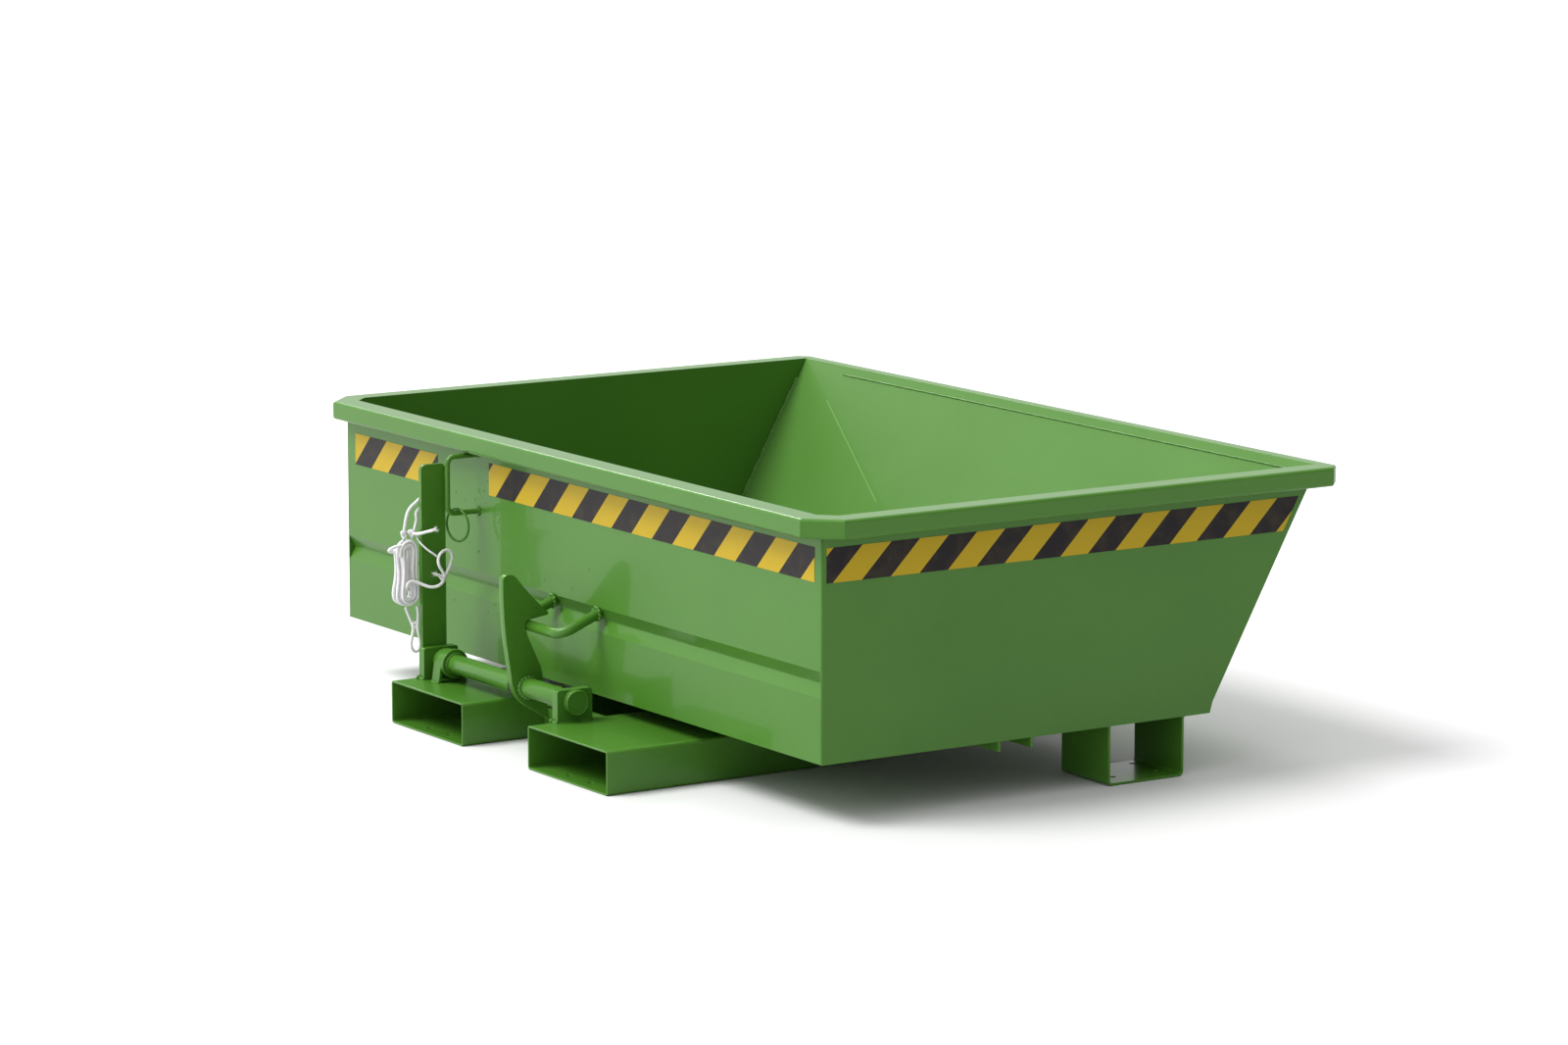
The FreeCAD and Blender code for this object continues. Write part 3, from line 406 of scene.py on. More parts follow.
fold_route = [
    (-296.0, -112.0, 271.5), (-295.0, -121.0, 273.5), (-295.5, -130.5, 273.0), (-298.5, -138.0, 270.0),
    (-303.5, -139.5, 266.5), (-308.0, -134.5, 263.0), (-309.5, -125.0, 261.5), (-308.5, -114.0, 262.0),
]
print("the fold over the pin has", len(hanger_route), "control points")

# %% [markdown]
# The hank is one long winding. Each turn has twelve points, and the layers lie side by side, spiralling
# in and out by turns so that the rope never has to jump. The bundle is drawn in at the top and at the
# waist and left loose below, and a little seeded looseness keeps the turns from looking machined.

# %% The hank's turns
hank_middle = (-303.0, -108.5, 229.0)
hank_pitch, hank_widest, hank_straight = 5.8, 20.0, 31.5
hank_turns, turns_per_layer = 8, 2
shoulder_z, waist_z, loose_z = 24, -10, -20
run_low_z, run_high_z, end_shift = -6, 14, 5


def hank_reach(turned):
    """Half a turn's width: inward on even layers, outward on odd ones."""
    layer = min(int(turned / turns_per_layer), hank_turns // turns_per_layer - 1)
    within = turned - turns_per_layer * layer
    return hank_widest - hank_pitch * (within if layer % 2 == 0 else turns_per_layer - within)


def gather(y, z):
    """The hank is tied at the top, drawn in at the waist and loose below."""
    if z > shoulder_z:
        return y * 0.78
    if z > waist_z:
        return math.copysign(abs(y) * 0.905 - 3.9, y)
    return y * 1.02


def hank_route():
    """The hank's control points: eight turns in four layers, spiralling in and out by turns."""
    middle_x, middle_y, middle_z = hank_middle
    loose = random.Random(5)
    route = []

    def add(x, y, z):
        slack = 1.2 if z < loose_z else 0.4
        y = gather(y, z) + loose.uniform(-slack, slack)
        z = z + loose.uniform(-slack, slack) * 1.4
        route.append((middle_x + x, middle_y + y, middle_z + z))

    corner = math.tan(math.radians(22.5))
    add(-1.5 * hank_pitch, -hank_widest, hank_straight + end_shift)
    for turn in range(hank_turns):
        layer = turn // turns_per_layer
        x = hank_pitch * (layer - 1.5)
        climb = hank_pitch if turn % turns_per_layer == 0 and layer else 0.0
        start, low, front, high = (hank_reach(turn + share) for share in (0.0, 0.25, 0.5, 0.75))
        end = hank_reach(turn + 1)
        add(x - climb * 0.7, -start, run_high_z)
        add(x - climb * 0.3, -start, run_low_z)
        add(x, -start, -hank_straight - corner * low)
        add(x, -corner * low, -hank_straight - low)
        add(x, corner * low, -hank_straight - low)
        add(x, front, -hank_straight - corner * front)
        add(x, front, run_low_z)
        add(x, front, run_high_z)
        add(x, front, hank_straight + corner * high)
        add(x, corner * high, hank_straight + high)
        add(x, -corner * high, hank_straight + high)
        add(x, -end, hank_straight + corner * end)
    add(1.5 * hank_pitch, -hank_reach(hank_turns), hank_straight - end_shift)
    return route


print("the hank has", len(hank_route()), "control points")

# %% [markdown]
# A plait shows as four rows of lumps round the cord. Each stretch is its own cord, with its real length,
# so that it can be cut and hung again, and everything on the hank swings from the lever's pin as one
# body.

# %% Plaited cord
lump_rows, lump_share, lump_length = 4, 0.075, 0.0045
knotted_size, knot_steps = 0.004, 72
cord_sides, cord_steps, knot_sides = 12, 14, 10


def plait(size):
    """Ring sizes of a plaited cord: four rows of lumps, one every 4.5 mm."""
    def radius(angle, along):
        lump = math.cos(lump_rows * angle) * math.cos(along * 2 * math.pi / lump_length)
        return size / 2 * (0.97 + lump_share * lump)
    return radius


def lay_cord(name, route, size, stands_for=None):
    """A rope along a route, on the rope body. It stands for its plain solids, where it has some."""
    points = spline_points([at(*place) for place in route], cord_steps)
    piece = tube(name, points, cord_sides, plait(size), "rope", white_rope)
    if stands_for:
        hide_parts(*stands_for)
    length = arc_lengths(points)[-1]
    print(name, "is", round(length * 1000, 1), "mm long")


def knot(name, place, size, lean=0.0):
    """An overhand knot pulled tight: a trefoil of cord, squeezed until its turns touch."""
    points = []
    for step in range(knot_steps):
        turn = 2 * math.pi * step / knot_steps
        x = math.sin(turn) + 2 * math.sin(2 * turn)
        y = math.cos(turn) - 2 * math.cos(2 * turn)
        z = -math.sin(3 * turn) * 1.1
        x, z = x * math.cos(lean) - z * math.sin(lean), x * math.sin(lean) + z * math.cos(lean)
        points.append(at(*place) + Vector((z, x, y)) * size)
    radius = plait(knotted_size)
    return tube(name, points, knot_sides, radius, "rope", white_rope, closed=True)


print("cord can be laid and knotted")

# %% [markdown]
# Where the rope is cut, its yarns splay out. Each yarn is a thin four-sided spike that leaves the end
# straight and leans away on its own. A hair system would be finer, but a few dozen spikes are all that
# one sees.

# %% Frayed ends
yarn_rings, yarn_sides, yarn_radius, yarn_splay = 5, 4, 0.00065, 0.55
yarn_scatter, yarn_root = 0.0011, 0.002


def frayed_end(name, place, way, count, length, seed):
    """Loose yarns that splay out of a cut end."""
    spread = random.Random(seed)
    verts, faces = [], []
    way = Vector(way).normalized()
    beside = way.orthogonal().normalized()
    above = way.cross(way.orthogonal()).normalized()
    for _ in range(count):
        lean = Vector([spread.uniform(-1, 1) for axis in range(3)])
        tip_way = (way + lean * yarn_splay).normalized()
        start = at(*place) + lean * yarn_scatter - way * yarn_root
        first = len(verts)
        reach = length * spread.uniform(0.6, 1.1)
        for ring in range(yarn_rings):
            share = ring / (yarn_rings - 1)
            middle = start + (way * (1 - share) + tip_way * share) * reach * share
            thick = yarn_radius * (1.05 - share)
            for side in range(yarn_sides):
                angle = math.pi / 2 * side
                out = beside * math.cos(angle) + above * math.sin(angle)
                verts.append(middle + out * thick)
        for ring in range(yarn_rings - 1):
            low = first + ring * yarn_sides
            high = low + yarn_sides
            for side in range(yarn_sides):
                after = (side + 1) % yarn_sides
                faces.append((low + side, low + after, high + after, high + side))
        last = first + (yarn_rings - 1) * yarn_sides
        faces.append(tuple(last + side for side in range(yarn_sides)))
        faces.append(tuple(first + yarn_sides - 1 - side for side in range(yarn_sides)))
    return mesh_piece(name, verts, faces, "rope", white_rope)


top_knots = [knot("rope_top_knot_rear", (-303.5, -112.5, 289.5), 0.0016),
             knot("rope_top_knot_front", (-302.0, -99.5, 290.0), 0.0017, 0.8)]
eye_knot = knot("rope_eye_knot", (-265.0, -67.0, 223.0), 0.0013, 0.5)
stub_points = spline_points([at(*place) for place in eye_stub_route])
eye_stub = tube("rope_eye_stub", stub_points, cord_sides, plait(rope_size), "rope", white_rope)
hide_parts("rope_eye_end")
stub_fray = frayed_end("rope_eye_fray", eye_stub_route[-1], (0.1, -0.85, 0.35), 26, 0.009, 3)
cut_fray = frayed_end("rope_cut_fray", end_route[-1], (0.5, 0.7, 0.3), 30, 0.011, 9)
tail_knot = knot("rope_tail_knot", (-298.0, -97.5, 148.0), 0.0015, 0.3)
print("knots and frayed ends are tied")

# %% [markdown]
# Now the cord is laid. Where the rope only goes back into the hank, its far end is the object. The
# teardrop eye ends in a knot, and one strand ends bare, in its fray.

# %% Cords
lay_cord("rope_hank_turns", hank_route(), rope_size, ["rope_hank"])
lay_cord("rope_hanging_fold", hanger_route, rope_size, ["rope_hanger"])
lay_cord("rope_teardrop_eye", eye_route, rope_size, ["rope_eye"])
lay_cord("rope_cut_strand", end_route, rope_size, ["rope_cut_end"])
lay_cord("rope_thin_tie", tie_route, tie_size, ["rope_tie"])
lay_cord("rope_lower_loop", tail_route, rope_size, ["rope_tail"])
lay_cord("rope_loose_fold", fold_route, rope_size)

# %% [markdown]
# The paint is a thick wet coat of green, sprayed over the welded steel. It is glossy enough to mirror the
# latch in the wall. Three scales of bumps break the mirror: fine orange peel, the grain of the spray and
# the slow waves of thin sheet. The colour hardly changes, a little lighter and duller in clouds.

# %% Green paint
green_dark, green_light = (0.047, 0.154, 0.013, 1), (0.056, 0.172, 0.017, 1)
# Painted light: the front plate's greens are lighter copies of the paint, for the light that falls on it.
slope_lit_dark, slope_lit_light = (0.070, 0.184, 0.030, 1), (0.080, 0.200, 0.038, 1)
# Painted highlight: the bright green of the thin line on the front plate.
crease_highlight_green = (0.20, 0.38, 0.12, 1)


def paint_varying(start, highlight_line=None, dark=green_dark, light=green_light):
    place = own_place(start)
    clouds = start.noise(place, 5.0, 3.0)
    peel = start.noise(place, 420.0, 2.0)
    grain = start.noise(place, 95.0, 3.0)
    waves = start.noise(place, 7.0, 1.0)
    shade = (clouds * 0.75 + grain * 0.25).ramp((0.3, 0), (0.7, 1))
    colour = shade.choose(dark, light)
    if highlight_line is not None:
        colour = highlight_line.choose(colour, crease_highlight_green)
    sheet_waves = start.bumps(waves, 0.0007)
    fine = start.bumps(grain, 0.00012, sheet_waves)
    return {
        "Base Color": colour,
        "Roughness": 0.30 + clouds * 0.12,
        "Normal": start.bumps(peel, 0.00004, fine),
    }


paint_fixed = {"Coat Weight": 0.26, "Coat Roughness": 0.06, "Coat IOR": 1.5, "Specular IOR Level": 0.18}
green_paint = finish("green_paint", paint_fixed, paint_varying)
print("finish:", green_paint.name)

# %% [markdown]
# The front plate is painted a shade paler than the rest, a lighter copy of the green that stands for
# the light falling on it, and its paint is duller. One thin painted highlight crosses its left end,
# along a crease in the sheet. The line is worked out from the height, as any straight scratch can be:
# how far a point lies from the line decides whether it is on it.

# %% The front plate's painted light
crease_top_x, crease_top_z, crease_run = -0.567, 0.384, 1.975
crease_low, crease_high, crease_width_squared, crease_highlight_strength = 0.258, 0.388, 0.000003, 0.5


def slope_varying(start):
    """The front plate's paint, painted lighter for the light on it, with one thin painted highlight along a
    crease.
    """
    x, _, z = own_place(start).xyz()
    line_x = crease_top_x + (crease_top_z - z) * crease_run
    distance_squared = (x - line_x) * (x - line_x)
    inside = (z > crease_low) * (z < crease_high)
    line = (distance_squared < crease_width_squared) * inside * crease_highlight_strength
    return paint_varying(start, line, slope_lit_dark, slope_lit_light)


worn_fixed = {**paint_fixed, "Coat Weight": 0.1, "Specular IOR Level": 0.15}
# Painted light on the front plate: its paler greens and the bright line of its painted highlight.
front_plate_painted_light = finish("front_plate_painted_light", worn_fixed, slope_varying)
for name in nodes:
    coat_node(name, front_plate_painted_light if name == "front_slope" else green_paint)
print("painted", len(nodes), "nodes")

# %% [markdown]
# Hazard tape is printed film: yellow and black bands at 45 degrees, rising to the right. Each length
# starts at its own place in the print, so each has its own offset. The bands are worked out from the
# place on the wall, which keeps their edges sharp at any distance, as an image would not.

# %% Hazard tape
yellow, black_ink, dull_dirt = (0.43, 0.295, 0.007, 1), (0.010, 0.007, 0.009, 1), (0.26, 0.21, 0.07, 1)
along_x_axis, along_y_axis = 0, 1


def tape_finish(name, along_axis, top_z, band_start, period):
    """Bands from the height and the place along one axis. Yellow starts at band_start on the top edge."""
    def varying(start):
        place = own_place(start)
        parts = place.xyz()
        shifted = (parts[along_axis] - band_start) - (parts[2] - top_z)
        black = (shifted % period) > period / 2
        dirt = start.noise(place, 40.0, 4.0)
        print_colour = black.choose(yellow, black_ink)
        dull = (dirt * 0.6).ramp((0.25, 0), (0.6, 0.14))
        return {
            "Base Color": dull.choose(print_colour, dull_dirt),
            "Roughness": 0.34 + dirt * 0.22,
            "Normal": start.bumps(start.noise(place, 160.0, 2.0), 0.00006),
        }
    return finish(name, {"Coat Weight": 0.05, "Coat Roughness": 0.2, "Specular IOR Level": 0.16}, varying)


side_band_y = (68.2 - wall_back_mm) / 1000
tapes = {
    "tape_rear_right": (along_x_axis, -0.2227, 0.1133),
    "tape_rear_left": (along_x_axis, -0.6640, 0.1075),
    "tape_side_right": (along_y_axis, side_band_y, 0.0980),
    "tape_side_left": (along_y_axis, side_band_y, 0.0980),
}
for name, (along_axis, band_start, period) in tapes.items():
    top_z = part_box(name)[1].z
    coat_node(name, tape_finish("hazard_" + name, along_axis, top_z, band_start, period))
print("taped", len(tapes), "lengths")

# %% [markdown]
# Under the bin three small finishes meet: the turned steel of the pivot axle, the zinc of its washers and
# split pins, and the dark oiled wire of the spring. They are seldom seen, but a joint reads by them when
# it moves.


# %% Bare metals
def turned_varying(start):
    place = own_place(start)
    rings = (place.xyz()[0] * 5200.0).wave()
    rust = start.noise(place, 70.0, 5.0).ramp((0.5, 0), (0.72, 0.6))
    return {
        "Base Color": rust.choose((0.42, 0.41, 0.39, 1), (0.20, 0.10, 0.05, 1)),
        "Roughness": 0.34 + rust * 0.35,
        "Normal": start.bumps(rings, 0.00002),
    }


def zinc_varying(start):
    place = own_place(start)
    spangle = start.make("TexVoronoi", {"feature": "F1"}, {"Vector": place, "Scale": 420.0})
    return {
        "Base Color": spangle.choose((0.52, 0.53, 0.55, 1), (0.74, 0.75, 0.76, 1)),
        "Roughness": 0.30 + spangle * 0.25,
        "Normal": start.bumps(start.noise(place, 900.0), 0.00003),
    }


def wire_varying(start):
    place = own_place(start)
    scale = start.noise(place, 320.0, 4.0)
    return {
        "Base Color": scale.choose((0.035, 0.034, 0.036, 1), (0.10, 0.095, 0.09, 1)),
        "Roughness": 0.32 + scale * 0.25,
        "Normal": start.bumps(scale, 0.00005),
    }


turned_steel = finish("turned_steel", {"Metallic": 1.0}, turned_varying)
zinc = finish("zinc", {"Metallic": 1.0}, zinc_varying)
oiled_wire = finish("oiled_wire", {"Metallic": 0.9}, wire_varying)
for name, coat in (("pivot_axle", turned_steel), ("axle_washers", zinc), ("split_pins", zinc)):
    coat_node(name, coat)
print("metals done")

# %% [markdown]
# Sheet steel is never sharp: sheared edges are broken and paint rounds them further, and that thin round
# is what catches the light along the lever, the hook and the pockets. A bevel modifier gives it without
# touching the solids. The rim's folds stay crisp, and the tape, the ring, the split pins and the pieces
# that others stand for go without.

# %% Softened edges
plate_edge, pocket_edge, wall_edge, usual_edge = 0.0012, 0.0008, 0.001, 0.0006
soft_edges = {"rear_wall": wall_edge, "release_lever": plate_edge, "hook_plate": plate_edge,
              "shaft_bracket_left": plate_edge, "shaft_bracket_right": plate_edge,
              "fork_pocket_left": pocket_edge, "fork_pocket_right": pocket_edge}
plain = ("rope_", "rim_", "tape_", "return_spring", "ring", "split_pins", "hook_welds")
merge_distance, least_corner = 0.00002, math.radians(35)
for name, node in nodes.items():
    if name.startswith(plain):
        continue
    weld = node.modifiers.new("join", "WELD")
    weld.merge_threshold = merge_distance
    soften = node.modifiers.new("soft edge", "BEVEL")
    soften.width = soft_edges.get(name, usual_edge)
    soften.segments = 2
    soften.limit_method = "ANGLE"
    soften.angle_limit = least_corner
    soften.use_clamp_overlap = True
print("edges softened")

# %% [markdown]
# The return spring is a coil of wire on the latch shaft. One arm is hooked into the rear cross member and
# the other pushes the hook's tail, so the coil must wind up as the latch turns. It is laid as one tube,
# fixed in place, that rides on neither body.

# %% Return spring
spring_radius, spring_pitch, spring_wire = 17.5, 3.6, 1.5
spring_gap, spring_finger, spring_drop, spring_corner = 6.0, 9.0, 43.5, 0.004
spring_turns, spring_exit, coil_steps, wire_sides, anchor_y = 2, 25, 100, 12, 9.0
shaft_y, shaft_z, hook_x, hook_thick = -70.0, 95.5, -17.0, 12.0
spring_turned = 2 * math.pi * spring_turns + math.radians(270 - spring_exit)
spring_lead = spring_pitch / (2 * math.pi)
spring_last_x = hook_x - spring_gap - spring_wire
spring_first_x = spring_last_x - spring_lead * spring_turned


def coil_place(turned):
    """A place on the coil, after turning by an angle from its lowest point."""
    side = math.radians(270) - turned
    return at(spring_first_x + spring_lead * turned, shaft_y + spring_radius * math.cos(side),
              shaft_z + spring_radius * math.sin(side))


def rounded(corner, before, after, size, steps=8):
    """Points round a corner, from the run before it to the run after it."""
    start = corner + (before - corner).normalized() * size
    end = corner + (after - corner).normalized() * size
    shares = [step / steps for step in range(steps + 1)]
    return [start.lerp(corner, share).lerp(corner.lerp(end, share), share) for share in shares]


coil = [coil_place(spring_turned * step / coil_steps) for step in range(coil_steps + 1)]
in_way, out_way = (coil[1] - coil[0]).normalized(), (coil[-1] - coil[-2]).normalized()
arm_start = coil[0] + in_way * ((at(0, anchor_y, 0).y - coil[0].y) / in_way.y)
arm_corner = coil[-1] + out_way * (-spring_drop / 1000 / out_way.z)
finger_end = arm_corner + Vector(((spring_finger + spring_gap + hook_thick / 2) / 1000, 0, 0))
spring_path = [arm_start, arm_start.lerp(coil[0], 0.5)] + coil
spring_path += rounded(arm_corner, coil[-1], finger_end, spring_corner) + [finger_end]
spring = tube("return_spring_wire", spring_path, wire_sides, lambda angle, along: spring_wire / 1000, None,
              oiled_wire)
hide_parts("return_spring")
tuple(at(spring_first_x, shaft_y, shaft_z))
tuple(at(spring_last_x, shaft_y, shaft_z))
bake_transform(spring)
print("spring has", len(spring.data.vertices), "points")

# %% [markdown]
# Weld beads hold it all together, and painted steel without them looks like a toy. A bead is a low tube
# with a ripple for each dab of the torch, a bit uneven, laid along the joint and sunk about half into the
# corner.

# %% Weld beads
usual_ripple, least_step, steps_per_ripple = 3.6, 0.0011, 3.2
second_ripple, end_share, end_growth, bead_sides = 5.3, 0.45, 220, 8
beads_laid = []


def bead(name, stops, size, body, ripple=usual_ripple, closed=False, seed=1, lumps=0.16):
    """A painted weld along straight runs between stops, in millimetres. size is its half width."""
    phase = random.Random(seed).uniform(0, 6)
    places = [at(*stop) for stop in stops]
    points = []
    runs = list(zip(places, places[1:] + places[:1])) if closed else list(zip(places, places[1:]))
    step = max(least_step, ripple / 1000 / steps_per_ripple)
    for first, second in runs:
        count = max(2, int((second - first).length / step))
        points += [first.lerp(second, share / count) for share in range(count)]
    if not closed:
        points.append(places[-1])
    total = arc_lengths(points)[-1]

    def radius(angle, along):
        swell = 1 + lumps * math.sin(2 * math.pi * along * 1000 / ripple + phase)
        swell += lumps * 0.7 * math.sin(along * 1000 / second_ripple + phase * 3 + angle)
        fade = 1.0 if closed else min(1.0, end_share + end_growth * min(along, total - along))
        return size / 1000 * swell * fade

    beads_laid.append(total)
    return tube(name, points, bead_sides, radius, body, green_paint, closed=closed)


def ring_stops(x, y, z, size, count=40, about="x"):
    """Places round a circle about the X or the Y way."""
    stops = []
    for step in range(count):
        turn = math.radians(360.0 * step / count)
        a, b = size * math.cos(turn), size * math.sin(turn)
        stops.append((x, y + a, z + b) if about == "x" else (x + a, y, z + b))
    return stops


def along_x(first, last, y, z):
    return [(first, y, z), (last, y, z)]


def along_y(first, last, x, z):
    return [(x, first, z), (x, last, z)]


def along_z(first, last, x, y):
    return [(x, y, first), (x, y, last)]


print("beads can be laid")

# %% [markdown]
# Everything on the latch shaft is welded right round it. The hook carries the load, so its two rings are
# the heaviest, and the right one is the lumpiest because it was laid in a tight place.

# %% Welds round the latch's shaft
hook_low, hook_high = span("hook_plate")
cap_low, cap_high = span("end_cap")
shaft_rings = {
    "hook_weld_left": (hook_low.x - 2.2, 16.4, 3.0, usual_ripple, 1, 0.16),
    "hook_weld_right": (hook_high.x + 2.4, 15.6, 3.2, 5.5, 2, 0.26),
    "cap_weld": (cap_high.x - 0.8, 17.6, 1.7, 4.6, 3, 0.3),
    "cap_weld_back": (cap_low.x + 0.8, 18.6, 1.6, usual_ripple, 33, 0.16),
    "collar_weld": (span("shaft_collar")[1].x + 0.6, 15.6, 2.0, usual_ripple, 4, 0.16),
    "lever_weld": (span("release_lever")[0].x - 0.5, 12.0, 1.6, usual_ripple, 5, 0.16),
}
for name, (x, from_middle, size, ripple, seed, lumps) in shaft_rings.items():
    stops = ring_stops(x, shaft_y, shaft_z, from_middle)
    bead(name, stops, size, "latch", ripple, True, seed, lumps)
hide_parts("hook_welds")

# %% [markdown]
# The shaft's bearings stand on the fork pockets. Each bracket is welded along its rear and its front
# foot, and a blob at the rear corner shows where the welder started. The right one has a seam along its
# outer side too, and the strap bearing is welded front and rear.

# %% Welds of the latch's bearings
for label in ("left", "right"):
    low, high = span("shaft_bracket_" + label)
    foot_z = low.z + 0.4
    bead("bracket_weld_rear_" + label, along_x(low.x, high.x, low.y - 0.5, foot_z), 3.2, "chassis", seed=6)
    bead("bracket_weld_front_" + label, along_x(low.x, high.x, high.y + 0.4, foot_z), 3.0, "chassis", seed=7)
    blob = [(low.x - 1.5, low.y - 1.0, low.z + 0.9), (low.x + 3.0, low.y - 1.4, low.z + 0.9)]
    bead("bracket_weld_blob_" + label, blob, 4.6, "chassis", seed=37)
low, high = span("shaft_bracket_right")
bead("bracket_weld_side", along_y(low.y + 3.0, high.y - 3.0, high.x + 0.6, low.z + 0.3), 2.2, "chassis", 6.0,
     seed=8, lumps=0.3)
low, high = span("bearing_strap")
for label, foot_y in (("rear", low.y - 0.3), ("front", high.y + 0.3)):
    bead("strap_weld_" + label, along_x(low.x, high.x, foot_y, low.z + 0.4), 2.4, "chassis", seed=9)
print("beads so far:", len(beads_laid))

# %% [markdown]
# On the rear wall a ring of weld sits where each end of the strike bar and of the bail meets the sheet.
# Inside, an upright seam runs up each side plate, as far in as the groove's back, and stops at the
# groove.

# %% Welds on the rear wall
low, high = span("strike_bar")
bar_radius, bar_end_z, bail_x = 8.0, 214.0, -270.0
for label, x in (("left", low.x + bar_radius), ("right", high.x - bar_radius)):
    bead("strike_weld_" + label, ring_stops(x, -1.6, bar_end_z, 9.0, 28, "y"), 3.0, "bin", 6.5, closed=True,
         seed=10, lumps=0.3)
for label, z, size in (("low", 320.0, 6.2), ("high", 408.0, 4.4)):
    bead("bail_weld_" + label, ring_stops(bail_x, -0.9, z, size, 22, "y"), 1.5, "bin", closed=True, seed=11)
groove_back_y = span("rear_wall")[1].y
sides = {"left": -1, "right": 1}
for label, side in sides.items():
    x = side * (inside_x - 0.8)
    bead("corner_weld_rear_" + label, along_z(94.0, 184.0, x, groove_back_y + 0.8), 2.0, "bin", 4.5, seed=12)
    bead("corner_weld_rear_top_" + label, along_z(226.0, 412.0, x, groove_back_y + 0.6), 2.0, "bin", 4.5,
         seed=13)
print("beads so far:", len(beads_laid))

# %% [markdown]
# Inside, the slanted front plate is welded down both its edges where it meets the sides. That seam faces
# the light and the camera, so it gets the heaviest bead, and a finer one beside it where the welder went
# twice. Finer seams run round the bottom plate and under the front rim.

# %% Welds inside the bin
toe_y, toe_z, slope_top_z, slope_run, slope_sheet = 689.0, 107.0, 414.0, 174.0, 3.45
lip_z, toe_seam_y = 430.0, 681.2


def slope_face(z, off=0.0):
    """The y of the front plate's inner face at a height."""
    share = (z - toe_z) / (slope_top_z - toe_z)
    return toe_y + slope_run * share - slope_sheet - off


for label, side in sides.items():
    x = side * (inside_x - 1.0)
    bead("slope_weld_" + label, [(x, slope_face(110, 1), 110.0), (x, slope_face(412, 1), 412.0)], 3.4, "bin",
         4.6, seed=14)
    x = side * (inside_x - 4.5)
    stops = [(x, slope_face(150, -0.4), 150.0), (x, slope_face(411, -0.4), 411.0)]
    bead("slope_weld_second_" + label, stops, 1.8, "bin", 4.0, seed=15)
    x = side * (inside_x - 0.8)
    bead("bottom_weld_" + label, along_y(6.0, 682.0, x, floor_z + 0.6), 2.0, "bin", 5.0, seed=16)
bead("lip_weld", along_x(-560.0, 676.0, slope_face(lip_z, 0.2), lip_z), 1.3, "bin", 4.2, seed=24)
bead("rear_foot_weld", along_x(-680.0, 680.0, 3.6, floor_z + 0.6), 2.0, "bin", 5.2, seed=17)
bead("toe_weld", along_x(-680.0, 680.0, toe_seam_y, floor_z + 1.2), 2.2, "bin", 5.2, seed=18)
print("beads so far:", len(beads_laid))

# %% [markdown]
# Under the bin the feet, the two long flats and the hinge lugs are welded on. The flats carry little, so
# they are only stitched, 32 mm in every 160. The lugs are welded on the side away from the pivot plates,
# and with a gap at the middle, where the axle's washers turn against them.

# %% Welds under the bin
low, high = span("foot_right")
for label, side in sides.items():
    for way, y in (("rear", low.y - 0.6), ("front", high.y + 0.6)):
        stops = along_x(side * low.x, side * high.x, y, bottom_z - 0.6)
        bead("foot_weld_" + way + "_" + label, stops, 2.6, "bin", 4.2, seed=21)
flat_seams = {"rear": 303.0, "front": 365.0}
stitch_count, stitch_first_x, stitch_step, stitch_half = 9, -640.0, 160.0, 16.0
for label, y in flat_seams.items():
    for index in range(stitch_count):
        x = stitch_first_x + stitch_step * index
        stops = along_x(x - stitch_half, x + stitch_half, y, bottom_z - 0.5)
        bead(f"flat_stitch_{label}_{index}", stops, 2.0, "bin", seed=22 + index)
outward = {"left_outer": -1, "left_inner": 1, "right_inner": -1, "right_outer": 1}
lug_runs = {"rear": (309.5, 324.0), "front": (344.0, 358.5)}
for label, out in outward.items():
    low, high = span("hinge_lug_" + label)
    x = (high.x if out > 0 else low.x) + out * 0.4
    for where, (start, end) in lug_runs.items():
        bead(f"lug_weld_{where}_{label}", along_y(start, end, x, bottom_z - 0.5), 1.9, "bin", seed=40)
print("beads so far:", len(beads_laid))

# %% [markdown]
# The chassis is two fork pockets, two cross members between them and four plates for the pivot. The cross
# members meet the pockets' inner sides in upright seams, and each pivot plate is welded along the
# pocket's top edge and up its own rear edge.

# %% Welds of the chassis
rear_low, rear_high = span("cross_member_rear")
front_low = span("cross_member_front")[0]
for label, x in (("left", rear_low.x + 0.6), ("right", rear_high.x - 0.6)):
    for where, y in (("rear", rear_high.y + 0.6), ("front", front_low.y - 0.6)):
        bead(f"member_weld_{where}_{label}", along_z(13.0, 59.0, x, y), 2.4, "chassis", seed=41)
pocket_top_z = span("fork_pocket_left")[1].z
for label, out in outward.items():
    low, high = span("pivot_plate_" + label)
    pocket_side = low.x if out > 0 else high.x
    stops = along_y(low.y + 2.0, low.y + 52.0, pocket_side + out, pocket_top_z)
    bead("plate_weld_top_" + label, stops, 1.6, "chassis", seed=42)
    stops = along_z(20.0, 60.0, pocket_side + out * 0.8, low.y - 0.4)
    bead("plate_weld_rear_" + label, stops, 1.6, "chassis", seed=43)
print("laid", len(beads_laid), "beads,", round(sum(beads_laid), 2), "m in all")

# %% [markdown]
# Spatter is the last trace of the welder: droplets that stuck to the wall near the bail, above the strike
# bar and under the groove, painted over. They are low domes in one mesh, and they catch the light as
# small bright specks.

# %% Spatter
dome_sides, dome_top = 10, 0.42
dome_rings = ((0.5, 0.36), (0.85, 0.18), (1.12, -0.05))


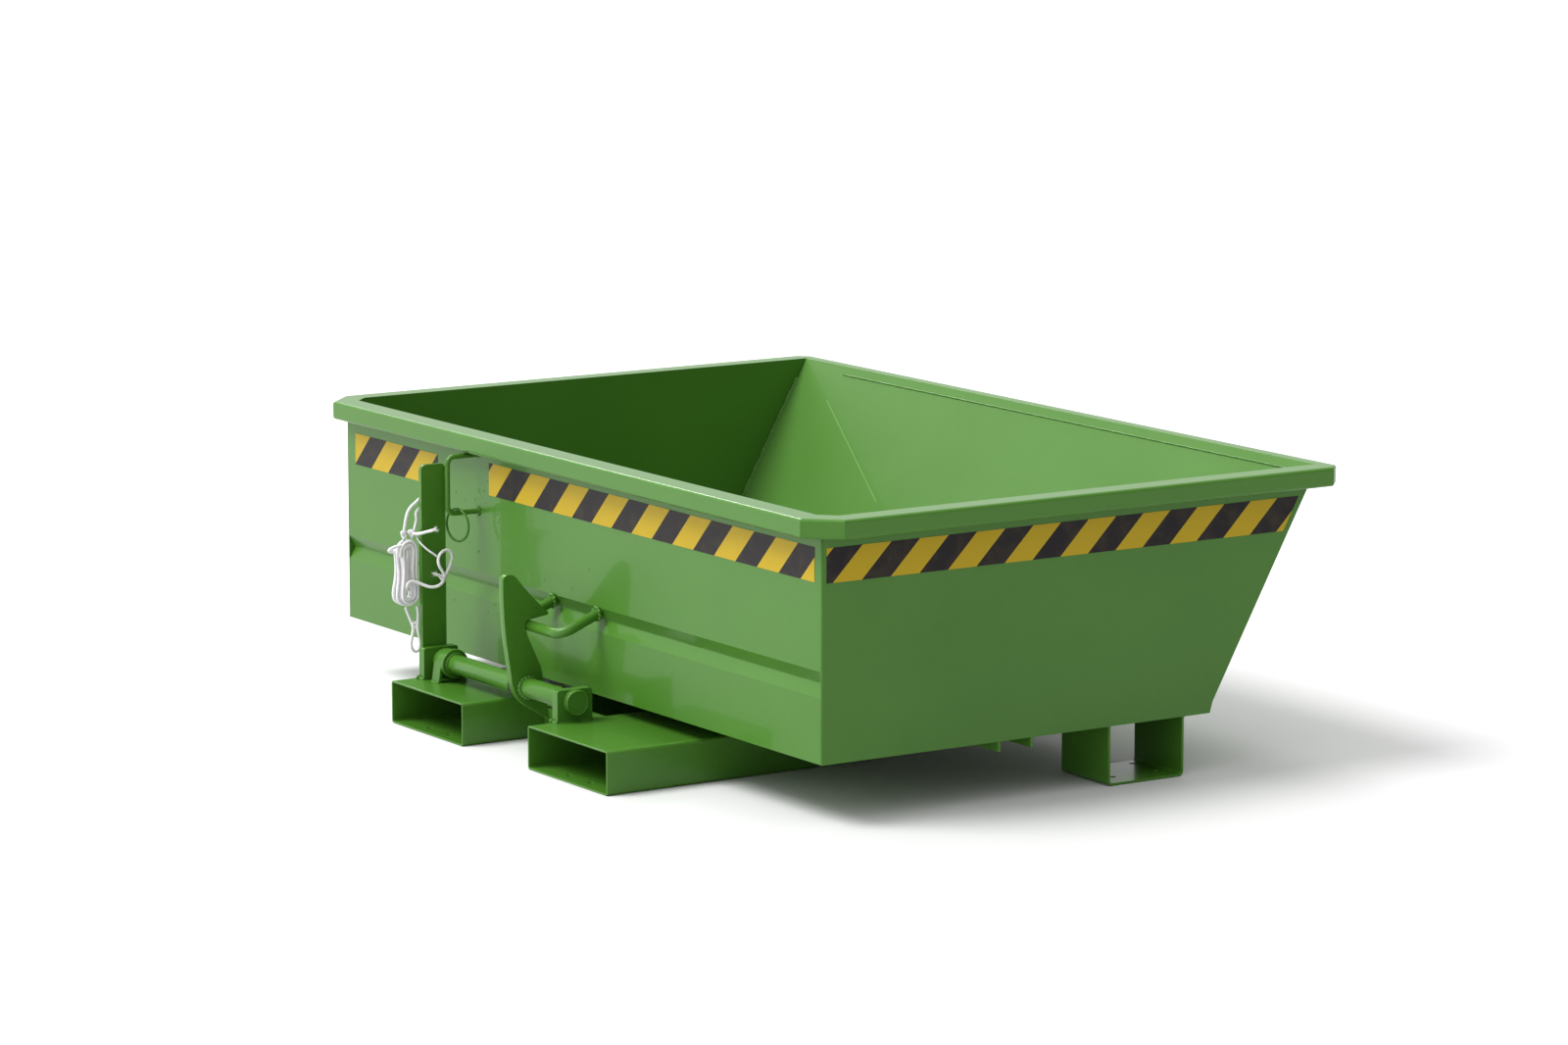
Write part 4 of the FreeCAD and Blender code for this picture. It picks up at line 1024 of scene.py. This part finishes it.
def droplets(name, places, body):
    """Low painted domes on the rear wall's outer face: (x, z, radius) in millimetres."""
    verts, faces = [], []
    for x, z, size in places:
        first = len(verts)
        verts.append(at(x, -size * dome_top, z))
        for out, high in dome_rings:
            for side in range(dome_sides):
                angle = 2 * math.pi * side / dome_sides
                across, up = size * out * math.cos(angle), size * out * math.sin(angle)
                verts.append(at(x + across, -size * high, z + up))
        for side in range(dome_sides):
            after = (side + 1) % dome_sides
            faces.append((first, first + 1 + side, first + 1 + after))
            for ring in range(len(dome_rings) - 1):
                low = first + 1 + ring * dome_sides
                faces.append((low + side, low + dome_sides + side, low + dome_sides + after, low + after))
    return mesh_piece(name, verts, faces, body, green_paint)


def on_open_sheet(x, z):
    """Whether a droplet keeps off the groove, the rim's underside and the right length of tape."""
    return not 183 < z < 226 and z < 400 and not (x > -229 and z > 338)


scatter = random.Random(11)
spots = [(-339, 340, 2.2), (-312, 332, 1.6), (-280, 337, 2.0), (-348, 170, 2.4), (-297, 267, 1.8),
         (-271, 257, 2.2)]
patches = ((-250, 345, 16, 22, 20), (-215, 305, 12, 24, 12), (-232, 170, 14, 7, 6), (18, 250, 50, 12, 7))
for x, z, wide, high, count in patches:
    for _ in range(count):
        spots.append((scatter.gauss(x, wide), scatter.gauss(z, high), scatter.uniform(0.9, 2.3)))
spots = [spot for spot in spots if on_open_sheet(spot[0], spot[1])]
droplets("wall_spatter", spots, "bin")
print("spatter:", len(spots), "droplets")

# %% [markdown]
# The floor is a wide pale sheet that runs past the horizon of the picture. Its grey is painted lighter
# to the left and on the rear wall's side, where the lamps stand, and darker at the front right: painted
# light and painted shade.

# %% Floor
floor_reach, floor_drop = 60.0, 0.0002
stage_mesh = bpy.data.meshes.new("floor")
stage_mesh.from_pydata([(-floor_reach, -floor_reach, 0), (floor_reach, -floor_reach, 0),
                        (floor_reach, floor_reach, 0), (-floor_reach, floor_reach, 0)], [], [(0, 1, 2, 3)])
floor = bpy.data.objects.new("floor", stage_mesh)
bpy.context.collection.objects.link(floor)
floor.location.z = -floor_drop


def floor_varying(start):
    x, y, _ = own_place(start).xyz()
    # Painted light and shade: the floor's grey grows lighter towards the lamps and darker at the front
    # right.
    painted_floor_light = (x * -0.09 + y * -0.06 + 0.5).ramp((0.3, 0), (0.75, 1))
    return {"Base Color": painted_floor_light.choose((0.56, 0.56, 0.56, 1), (0.74, 0.74, 0.74, 1))}


pale_floor = finish("pale_floor", {"Roughness": 0.9, "Specular IOR Level": 0.1}, floor_varying)
stage_mesh.materials.append(pale_floor)
print("floor laid, with finish", pale_floor.name)

# %% [markdown]
# One big soft lamp stands high above, on the rear wall's side. It lights the rear wall, the front plate
# and the rim, and leaves the right side in shade. A weaker one from the left draws the floor's shadow out
# to the right. The sky fills the rest. It is brightest overhead and darkest low down at the front right,
# as in a studio whose ceiling is its main light. An even sky would be simpler, but it flattens the shaded
# side.

# %% Light
lights = {
    "overhead": ((-0.22, -0.52, 0.83), 3.0, 28),
    "left": ((-0.80, 0.10, 0.60), 0.8, 12),
}
for name, (way, energy, spread) in lights.items():
    lamp = bpy.data.lights.new(name, "SUN")
    lamp.energy, lamp.angle = energy, math.radians(spread)
    holder = bpy.data.objects.new(name, lamp)
    holder.rotation_euler = Vector(way).to_track_quat("Z", "Y").to_euler()
    bpy.context.collection.objects.link(holder)

world = bpy.data.worlds.new("sky")
bpy.context.scene.world = world
world.use_nodes = True
background = world.node_tree.nodes["Background"]
background.inputs["Color"].default_value = (1, 1, 1, 1)
x, y, z = Wire(world.node_tree).make("TexCoord", {}, {}, generated).xyz()
toward_lamp = x * -0.30 + y * -0.20 + z * 0.50 + 0.45
strength = toward_lamp.ramp((0.15, 0.12), (0.55, 0.55), (0.95, 1.0)) * 1.4
world.node_tree.links.new(strength.socket, background.inputs["Strength"])
bpy.context.scene.view_settings.view_transform = "Standard"
print("lit by", sorted(lights), "and the sky")
